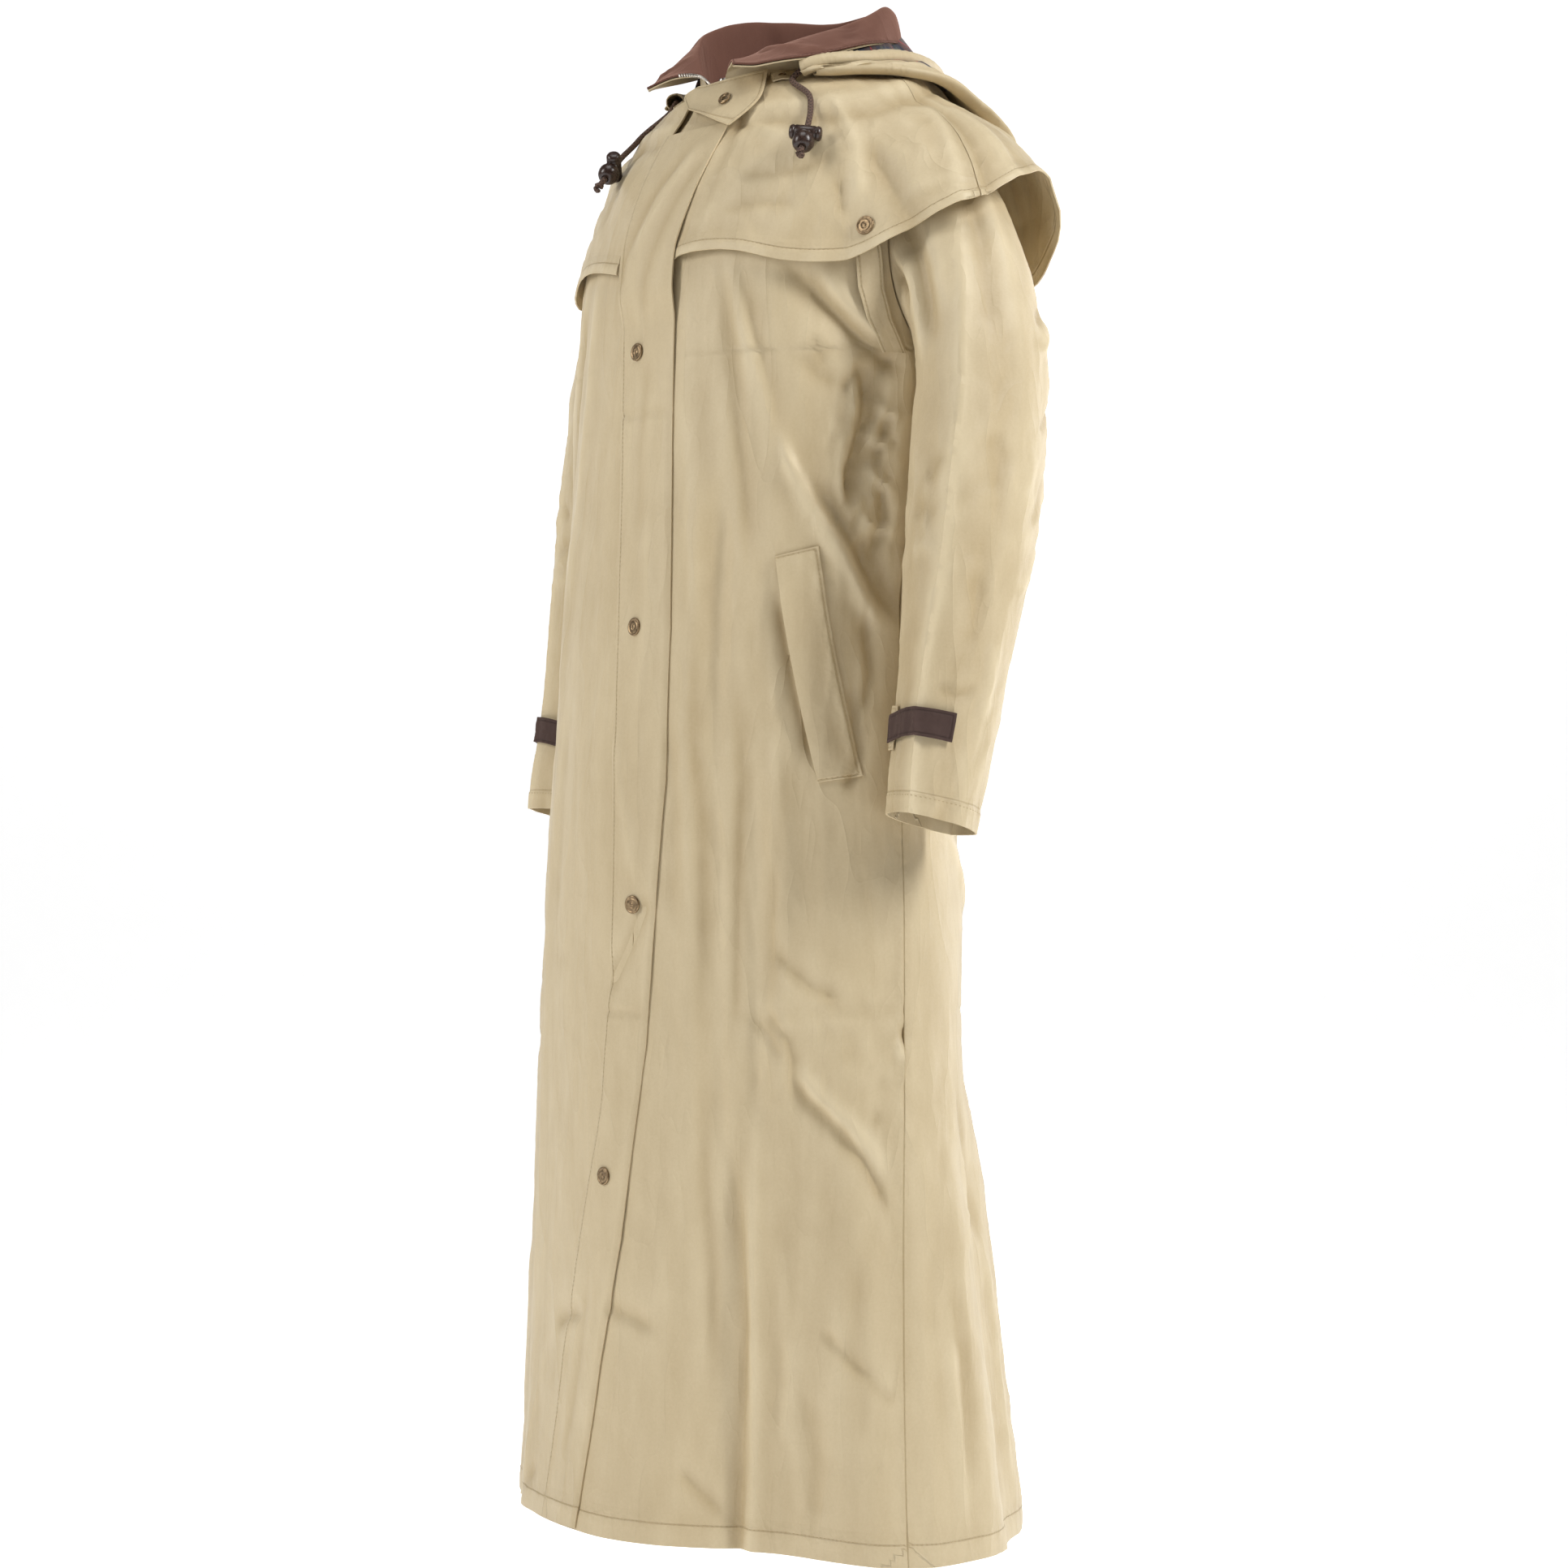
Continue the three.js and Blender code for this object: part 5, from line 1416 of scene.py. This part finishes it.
# sewing: each line is a row of small raised stitches laid on its cloth
# points and normals of a finished cloth at fractions a across and b down its grid
def onCloth(name, a, b):
    p = sizes[name][2]
    n = gridNormal(p, False)
    x, y = np.clip(a, 0, 1) * (p.shape[1] - 1), np.clip(b, 0, 1) * (p.shape[0] - 1)
    i, j = np.minimum(x.astype(int), p.shape[1] - 2), np.minimum(y.astype(int), p.shape[0] - 2)
    f, g = (x - i)[:, None], (y - j)[:, None]

    def blend(q):
        low = q[j, i] * (1 - f) + q[j, i + 1] * f
        high = q[j + 1, i] * (1 - f) + q[j + 1, i + 1] * f
        return low * (1 - g) + high * g

    return blend(p), unit(blend(n))


stitch = {"long": 3.0, "gap": 0.9, "thick": 0.3}


# lines holds, for each row, the cloth's name, its outward sign and the row's path on it
def stitches(name, lines, material=thread):
    bm = bmesh.new()
    for clothName, sign, a, b in lines:
        a, b = np.broadcast_arrays(np.asarray(a, float), np.asarray(b, float))
        path, normal = onCloth(clothName, a, b)
        normal = normal * sign
        run = np.concatenate([[0], np.cumsum(np.linalg.norm(np.diff(path, axis=0), axis=1))])
        count = max(2, int(run[-1] / (stitch["long"] + stitch["gap"])))
        starts = np.linspace(0, run[-1] - stitch["long"], count)
        local = np.array([0, 0.3, 0.7, 1.0]) * stitch["long"]
        at = (starts[:, None] + local[None]).ravel()
        size = np.tile([0.15, 1, 1, 0.15], count) * stitch["thick"]
        rise = np.tile([-0.5, 0.06, 0.06, -0.5], count)
        c = np.stack([np.interp(at, run, path[:, k]) for k in range(3)], 1)
        n = unit(np.stack([np.interp(at, run, normal[:, k]) for k in range(3)], 1))
        ahead = unit(np.gradient(c, axis=0))
        wide = unit(np.cross(ahead, n))
        made = bmesh.ops.create_grid(bm, x_segments=3, y_segments=len(at) - 1, size=0.5)["verts"]
        for k, vert in enumerate(made):
            ring = (k % 4) / 3 * math.pi
            q = k // 4
            out = wide[q] * (math.cos(ring) * size[q]) + n[q] * (math.sin(ring) * size[q] + rise[q])
            vert.co = (c[q] + out) * 0.001
    for face in bm.faces:
        face.smooth = True
    bmesh.ops.recalc_face_normals(bm, faces=bm.faces)
    mesh = bpy.data.meshes.new(name)
    bm.to_mesh(mesh)
    bm.free()
    piece = bpy.data.objects.new(name, mesh)
    bpy.context.scene.collection.objects.link(piece)
    piece.data.materials.append(material)
    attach(piece, "root")
    return piece


def evenly(a, b, n=160):
    return np.linspace(a, b, n)


hemAt = 1 - hemBand["wide"] / 1240
sewing = {
    "front_left": stitches("stitch_front_left", [("coat_front_left", -1, evenly(0, 0.995), hemAt)]),
    "front_right": stitches("stitch_front_right", [("coat_front_right", 1, evenly(0, 0.995), hemAt)]),
    "back": stitches("stitch_back", [("coat_back", -1, evenly(0.005, 0.995, 300), hemAt)]),
    "flap": stitches("stitch_flap", [
        ("flap", -1, evenly(0, 1, 40), 1 - hemBand["wide"] / 1188),
        ("flap", -1, 4 / 72, evenly(0.16, 0.98, 500)),
    ]),
}
for side, label in ((1, "left"), (-1, "right")):
    capeAt = 1 - capeEdge["stitch"] / capeEdge["long"]
    sewing[f"cape_{label}"] = stitches(f"stitch_cape_{label}", [
        (f"cape_{label}", -side, evenly(0.01, 1, 240), capeAt)])
    sewing[f"arm_{label}"] = stitches(f"stitch_arm_{label}", [
        (f"arm_{label}", side, evenly(0, 1), 1 - cuff["wide"] / 712)])
    sewing[f"strap_{label}"] = stitches(f"stitch_strap_{label}", [
        (f"strap_{label}", -side, 2.5 / 22, evenly(0, 1)),
        (f"strap_{label}", -side, 1 - 2.5 / 22, evenly(0, 1))])
    sewing[f"welt_{label}"] = stitches(f"stitch_welt_{label}", [
        (f"welt_{label}", -side, 1 - 2 / 26, evenly(0.01, 0.99)),
        (f"welt_{label}", -side, evenly(0.04, 0.92, 30), 2 / 186),
        (f"welt_{label}", -side, evenly(0.04, 0.92, 30), 1 - 2 / 186)])
    sewing[f"hood_patch_{label}"] = stitches(f"stitch_patch_{label}", [
        (f"hood_patch_{label}", -side, evenly(0.07, 0.93, 20), 0.14),
        (f"hood_patch_{label}", -side, evenly(0.07, 0.93, 20), 0.86)])
sewing["cape_rear"] = stitches("stitch_cape_rear", [("cape_rear", -1, evenly(0, 1, 500), capeAt)])
sewing["throat"] = stitches("stitch_throat", [
    ("throat", -1, evenly(0.05, 0.95, 40), 4 / 45), ("throat", -1, evenly(0.05, 0.95, 40), 1 - 4 / 45),
    ("throat", -1, 1 - 4 / 75, evenly(0.09, 0.91, 30))])
brownThread = threadMaterial("brown_thread", (0.13, 0.055, 0.035), 0.6)
sewing["collar_top"] = stitches("stitch_collar", [
    ("collar_top", -1, evenly(0.01, 0.99, 200), 1 - 4 / 95 * 0.5),
    ("collar_top", -1, 0.0085, evenly(0.42, 0.97, 40)), ("collar_top", -1, 0.9915, evenly(0.42, 0.97, 40))],
    brownThread)
sewing["hood_channel"] = stitches("stitch_channel", [
    ("hood_channel", 1, math.acos(-0.2) / (2 * math.pi), evenly(0.02, 0.98, 300))])
print("sewing done")


# hard trim made by turning a profile about an axis
# spins a profile of (radius, height) pairs in mm about an axis through at along toward
def turned(name, profile, at, toward, material, slotName, nodes=(), slices=40):
    bm = bmesh.new()
    last = None
    for radius, high in profile:
        vert = bm.verts.new((radius, 0, high))
        if last is not None:
            bm.edges.new((last, vert))
        last = vert
    bmesh.ops.spin(bm, geom=bm.verts[:] + bm.edges[:], cent=(0, 0, 0), axis=(0, 0, 1), dvec=(0, 0, 0),
                   angle=2 * math.pi, steps=slices, use_merge=True, use_duplicate=False)
    bmesh.ops.remove_doubles(bm, verts=bm.verts, dist=1e-5)
    bmesh.ops.recalc_face_normals(bm, faces=bm.faces)
    turnedBy = Vector((0, 0, 1)).rotation_difference(Vector(toward)).to_matrix().to_4x4()
    bm.transform(Matrix.Scale(0.001, 4) @ Matrix.Translation(Vector(at)) @ turnedBy)
    for face in bm.faces:
        face.smooth = True
    mesh = bpy.data.meshes.new(name)
    bm.to_mesh(mesh)
    bm.free()
    mesh.set_sharp_from_angle(angle=50 * rad)
    piece = bpy.data.objects.new(name, mesh)
    bpy.context.scene.collection.objects.link(piece)
    piece.data.materials.append(material)
    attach(piece, "root")
    if nodes:
        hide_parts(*nodes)
    return piece


def surfaceAt(fn, a, b, da, db, toward):
    a3 = np.array([a, a + da, a - da, a, a])
    b3 = np.array([b, b, b, b + db, b - db])
    p = fn(a3, b3)
    n = unit(np.cross(p[1] - p[2], p[3] - p[4]))
    return p[0], n * (1 if np.dot(n, toward) > 0 else -1)


snapCap = [(0, 1.75), (0.9, 1.7), (1.5, 1.35), (2.3, 1.3), (2.9, 1.62), (4.6, 1.7), (5.1, 1.35), (5.7, 1.3),
           (6.3, 1.8), (7.0, 1.85), (7.5, 1.4), (7.6, 0.7), (7.3, 0), (5, 0), (0, 0)]
for i, (deg, z) in enumerate(snapPlaces):
    def flapFace(a, b):
        return bodyPoint(a, b, flapOff(b) + flapWear(a, b) + 0.1)

    at, out = surfaceAt(flapFace, float(deg), float(z), 1.2, 8.0, (0, -1, 0))
    turned(f"snap_cap_{i + 1}", snapCap, at, out, brass, "snap", [f"snap_{i + 1}"])
for side, label in ((1, "left"), (-1, "right")):
    def capeFace(a, b):
        return capePoint(a, b, capeWear(a, b) + 0.3)

    at, out = surfaceAt(capeFace, side * 69.0, 0.87, 1.2, 0.03, (side, -0.4, 0))
    turned(f"snap_cape_cap_{label}", [(r * 1.05, h * 1.1) for r, h in snapCap], at, out, brass, "snap",
           [f"snap_cape_{label}"])

at, out = surfaceAt(throatForm, 0.6, 0.56, 0.05, 0.05, (0, -1, 0))
ringProfile = [(2.3, 0), (2.3, 0.9), (2.7, 1.4), (3.6, 1.5), (4.2, 1.1), (4.9, 1.0), (5.4, 1.5), (5.9, 1.2),
               (6.0, 0.4), (5.8, 0), (2.3, 0)]
turned("snap_ring", ringProfile, at + out * 0.9, out, brass, "snap", ["snap_throat"])
eyelet = [(1.5, 0), (1.5, 0.7), (2.4, 1.0), (3.4, 0.5), (3.5, 0), (1.5, 0)]
for side, label in ((1, "left"), (-1, "right")):
    def patchFace(a, b):
        return capePoint(a, b, 2.4 + capeWear(a, b))

    at, out = surfaceAt(patchFace, side * 45.5, 0.045, 0.8, 0.02, (side * 0.7, -0.6, 0.4))
    turned(f"patch_eyelet_{label}", eyelet, at, out, brass, "snap", slices=24)


# drawcords and cord locks
def smoothPath(points, n):
    return along(points, np.linspace(0, 1, n))


cordSize = {"radius": 2.5, "knot": 2.2, "step": 1.6}


def tube(name, points, radius, material, nodes=(), around=14):
    count = max(8, int(np.linalg.norm(np.diff(points, axis=0), axis=1).sum() / cordSize["step"]))
    path = smoothPath(points, count)
    run = unit(np.gradient(path, axis=0))
    sideRun = unit(np.cross(run, np.array([0.3, 0.2, 1.0])))
    upward = np.cross(sideRun, run)
    bm = bmesh.new()
    made = bmesh.ops.create_grid(bm, x_segments=around, y_segments=count - 1, size=0.5)["verts"]
    uv = bm.loops.layers.uv.new("cut")
    far = np.concatenate([[0], np.cumsum(np.linalg.norm(np.diff(path, axis=0), axis=1))])
    for k, vert in enumerate(made):
        a, q = (k % (around + 1)) / around * 2 * math.pi, k // (around + 1)
        end = min(q, count - 1 - q)
        r = radius * min(1.0, 0.55 + 0.3 * end)
        vert.co = (path[q] + sideRun[q] * (r * math.cos(a)) + upward[q] * (r * math.sin(a))) * 0.001
    bm.verts.index_update()
    for face in bm.faces:
        face.smooth = True
        for loop in face.loops:
            k = loop.vert.index
            loop[uv].uv = ((k % (around + 1)) / around, far[k // (around + 1)] * 0.001)
    bmesh.ops.remove_doubles(bm, verts=bm.verts, dist=1e-6)
    bmesh.ops.holes_fill(bm, edges=[e for e in bm.edges if e.is_boundary], sides=0)
    bmesh.ops.recalc_face_normals(bm, faces=bm.faces)
    mesh = bpy.data.meshes.new(name)
    bm.to_mesh(mesh)
    bm.free()
    piece = bpy.data.objects.new(name, mesh)
    bpy.context.scene.collection.objects.link(piece)
    piece.data.materials.append(material)
    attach(piece, "root")
    if nodes:
        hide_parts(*nodes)
    return piece, float(far[-1]) * 0.001


lockBell = [(3.3, -12), (4.6, -12.2), (6.8, -11), (8.4, -8.6), (9.2, -5.6), (9.3, -3.2), (8.8, -1.2),
            (7.9, 0), (7.7, 0.8), (7.9, 1.6), (6.6, 2.8), (5.0, 3.2), (3.3, 3.2), (3.3, -12)]
lockBarrel = [(0, -13.6), (3.2, -13.6), (5.0, -13.0), (6.0, -11.8), (6.3, -10), (5.7, -9.4), (5.7, -8.6),
              (6.3, -8), (6.2, 8), (5.7, 8.6), (5.7, 9.4), (6.3, 10), (6.0, 11.8), (5.0, 13.0), (3.2, 13.6),
              (0, 13.6)]
for side, label in ((1, "left"), (-1, "right")):
    spec = cordRuns[side]
    lock = capePoint(*spec["at"])
    run = unit(lock - capePoint(*spec["from"]))
    flipX = np.array([side, 1, 1])
    points = [np.array(p) * flipX for p in cordStart] + [capePoint(*r) for r in spec["rows"]] \
        + [lock + run * d for d in (-23, -12, 0, 12, spec["tail"])]
    points = np.array(points)
    bell = turned(f"cord_lock_{label}", lockBell, lock, -run, plastic, "toggle", [f"toggle_{label}"], 48)
    across = np.array([0.574 * side, 0.819, 0.05])
    across = unit(across - run * np.dot(across, run))
    barrel = turned(f"lock_barrel_{label}", lockBarrel, lock - run * 7, across, plastic, "toggle", (), 40)
    knotAt = lock + run * (spec["tail"] - 3)
    knotRing = [knotAt + (math.cos(a) * across + math.sin(a) * np.cross(run, across)) * 2.1 + run * a * 0.9
                for a in np.linspace(0, 4.6 * math.pi, 30) * 0.55]
    knot, _ = tube(f"cord_knot_{label}", np.array(knotRing), cordSize["knot"], cordCloth, around=10)
    cord, length = tube(f"cord_{label}", points, cordSize["radius"], cordCloth,
                        [f"drawcord_{label}"])
    [tuple(p * 0.001) for p in smoothPath(points, 30)]
    print("cord", label, round(length, 4))

# zip: slider below the collar and the teeth on the right collar edge
zipSize = {"teeth": 26, "tooth": (1.5, 3.6, 2.6)}
bm = bmesh.new()
bmesh.ops.create_cube(bm, size=1)
bm.transform(Matrix.Diagonal((7.2, 3.6, 10.6, 1)))
narrow = [v for v in bm.verts if v.co.z < 0]
bmesh.ops.scale(bm, vec=(0.62, 1, 1), verts=narrow)
bmesh.ops.bevel(bm, geom=bm.edges[:], offset=0.9, segments=3, profile=0.5, affect="EDGES", material=-1)
loopBar = bmesh.ops.create_cube(bm, size=1)["verts"]
barPlace = Matrix.Translation((0, -2.6, 0.5)) @ Matrix.Diagonal((2.2, 2.0, 6.4, 1))
bmesh.ops.transform(bm, verts=loopBar, matrix=barPlace)
barEdges = [e for e in bm.edges if all(v in loopBar for v in e.verts)]
bmesh.ops.bevel(bm, geom=barEdges, offset=0.7, segments=3, profile=0.5, affect="EDGES", material=-1)
bm.transform(Matrix.Scale(0.001, 4) @ Matrix.Translation((1.5, -94, -13)) @ Matrix.Rotation(-0.5, 4, "X"))
for face in bm.faces:
    face.smooth = True
mesh = bpy.data.meshes.new("slider")
bm.to_mesh(mesh)
bm.free()
mesh.set_sharp_from_angle(angle=45 * rad)
slider = bpy.data.objects.new("slider", mesh)
bpy.context.scene.collection.objects.link(slider)
slider.data.materials.append(steel)
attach(slider, "root")
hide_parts("zip_slider")

bm = bmesh.new()
toothAt = np.linspace(0.02, 0.66, zipSize["teeth"])
toothForm = Matrix.Diagonal((*zipSize["tooth"], 1))
edgePath, _ = onCloth("collar_top", np.full_like(toothAt, 0.9995), toothAt)
inner, _ = onCloth("collar_top", np.full_like(toothAt, 0.985), toothAt)
for k in range(zipSize["teeth"]):
    c = edgePath[k]
    outward = unit(c - inner[k])
    run = unit(edgePath[min(k + 1, zipSize["teeth"] - 1)] - edgePath[max(k - 1, 0)])
    upward = np.cross(run, outward)
    made = bmesh.ops.create_cube(bm, size=1)["verts"]
    basis = Matrix((Vector(run), Vector(outward), Vector(upward))).transposed().to_4x4()
    spotPlace = Matrix.Translation(Vector(c + outward * 1.0)) @ basis @ toothForm
    bmesh.ops.transform(bm, verts=made, matrix=spotPlace)
bmesh.ops.bevel(bm, geom=bm.edges[:], offset=0.25, segments=1, profile=0.5, affect="EDGES", material=-1)
bm.transform(Matrix.Scale(0.001, 4))
mesh = bpy.data.meshes.new("zip_teeth")
bm.to_mesh(mesh)
bm.free()
teeth = bpy.data.objects.new("zip_teeth", mesh)
bpy.context.scene.collection.objects.link(teeth)
teeth.data.materials.append(zipTeethMetal)
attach(teeth, "root")
print("trim done")

# cloth cuts
bodyParts = {frontLeft: "front_left", frontRight: "front_right", back: "back"}
for piece, key in bodyParts.items():
    sewn(piece)
for side, label in ((1, "left"), (-1, "right")):
    sewn(sleeves[side])
    sewn(cuffTabs[side])
    sewn(cuffBases[side])
    sewn(capes[side])
    sewn(straps[side])
    sewn(welts[side])
    sewn(hoodTabs[side])
sewn(capeRear)
sewn(stormFlap)
sewn(throat)
sewn(collarTop)
sewn(collarBase)
sewn(hoodBag)
sewn(hoodLining)
sewn(hoodRim)

# stage: a pale floor that curves up behind, and soft light
stage = {"floor": -1.46, "near": -6, "far": 7, "bend": 2.2, "wide": 9}
bm = bmesh.new()
bmesh.ops.create_grid(bm, x_segments=2, y_segments=60, size=0.5)
for vert in bm.verts:
    s = vert.co.y + 0.5
    x = vert.co.x * 2 * stage["wide"]
    y = mix(stage["near"], stage["far"] + 5, s)
    over = max(0.0, y - (stage["far"] - stage["bend"]))
    if over > 0:
        a = min(over / stage["bend"], math.pi / 2)
        y = stage["far"] - stage["bend"] + stage["bend"] * math.sin(a)
        rise = stage["bend"] * (1 - math.cos(a))
        z = stage["floor"] + rise + max(0.0, over - stage["bend"] * math.pi / 2)
    else:
        z = stage["floor"]
    vert.co = (x, y, z)
for face in bm.faces:
    face.smooth = True
bm.transform(Matrix.Rotation(turn, 4, "Z"))
mesh = bpy.data.meshes.new("floor")
bm.to_mesh(mesh)
bm.free()
floor = bpy.data.objects.new("floor", mesh)
bpy.context.scene.collection.objects.link(floor)
pale, _, paleShader = newMaterial("pale_floor")
paleShader.inputs["Base Color"].default_value = (0.92, 0.92, 0.92, 1)
paleShader.inputs["Roughness"].default_value = 0.9
paleShader.inputs["Emission Color"].default_value = (1, 1, 1, 1)
paleShader.inputs["Emission Strength"].default_value = 0.6
floor.data.materials.append(pale)

world = bpy.data.worlds.new("world")
bpy.context.scene.world = world
world.use_nodes = True
world.node_tree.nodes["Background"].inputs[0].default_value = (1, 1, 1, 1)
world.node_tree.nodes["Background"].inputs[1].default_value = 0.07


# area light seen from the coat at an azimuth from the camera's side and an elevation
def softLight(name, azimuth, elevation, far, size, power, tint=(1, 1, 1)):
    data = bpy.data.lights.new(name, "AREA")
    data.shape = "RECTANGLE"
    data.size, data.size_y = size
    data.energy = power
    data.color = tint
    lamp = bpy.data.objects.new(name, data)
    bpy.context.scene.collection.objects.link(lamp)
    a, e = turn + azimuth * rad, elevation * rad
    aim = Vector((0, 0, -0.55))
    lamp.location = aim + Vector((math.sin(a) * math.cos(e), -math.cos(a) * math.cos(e), math.sin(e))) * far
    lamp.rotation_euler = (aim - lamp.location).to_track_quat("-Z", "Y").to_euler()


softLight("key", -70, 26, 3.6, (0.8, 2.0), 60, (1, 0.985, 0.96))
softLight("fill", 56, 36, 3.6, (0.6, 1.6), 96)
softLight("top", -10, 76, 3.2, (1.6, 1.6), 26)
softLight("edge", 128, 10, 3.0, (0.4, 2.0), 24)
bpy.context.scene.view_settings.view_transform = "Standard"
print("stage done")
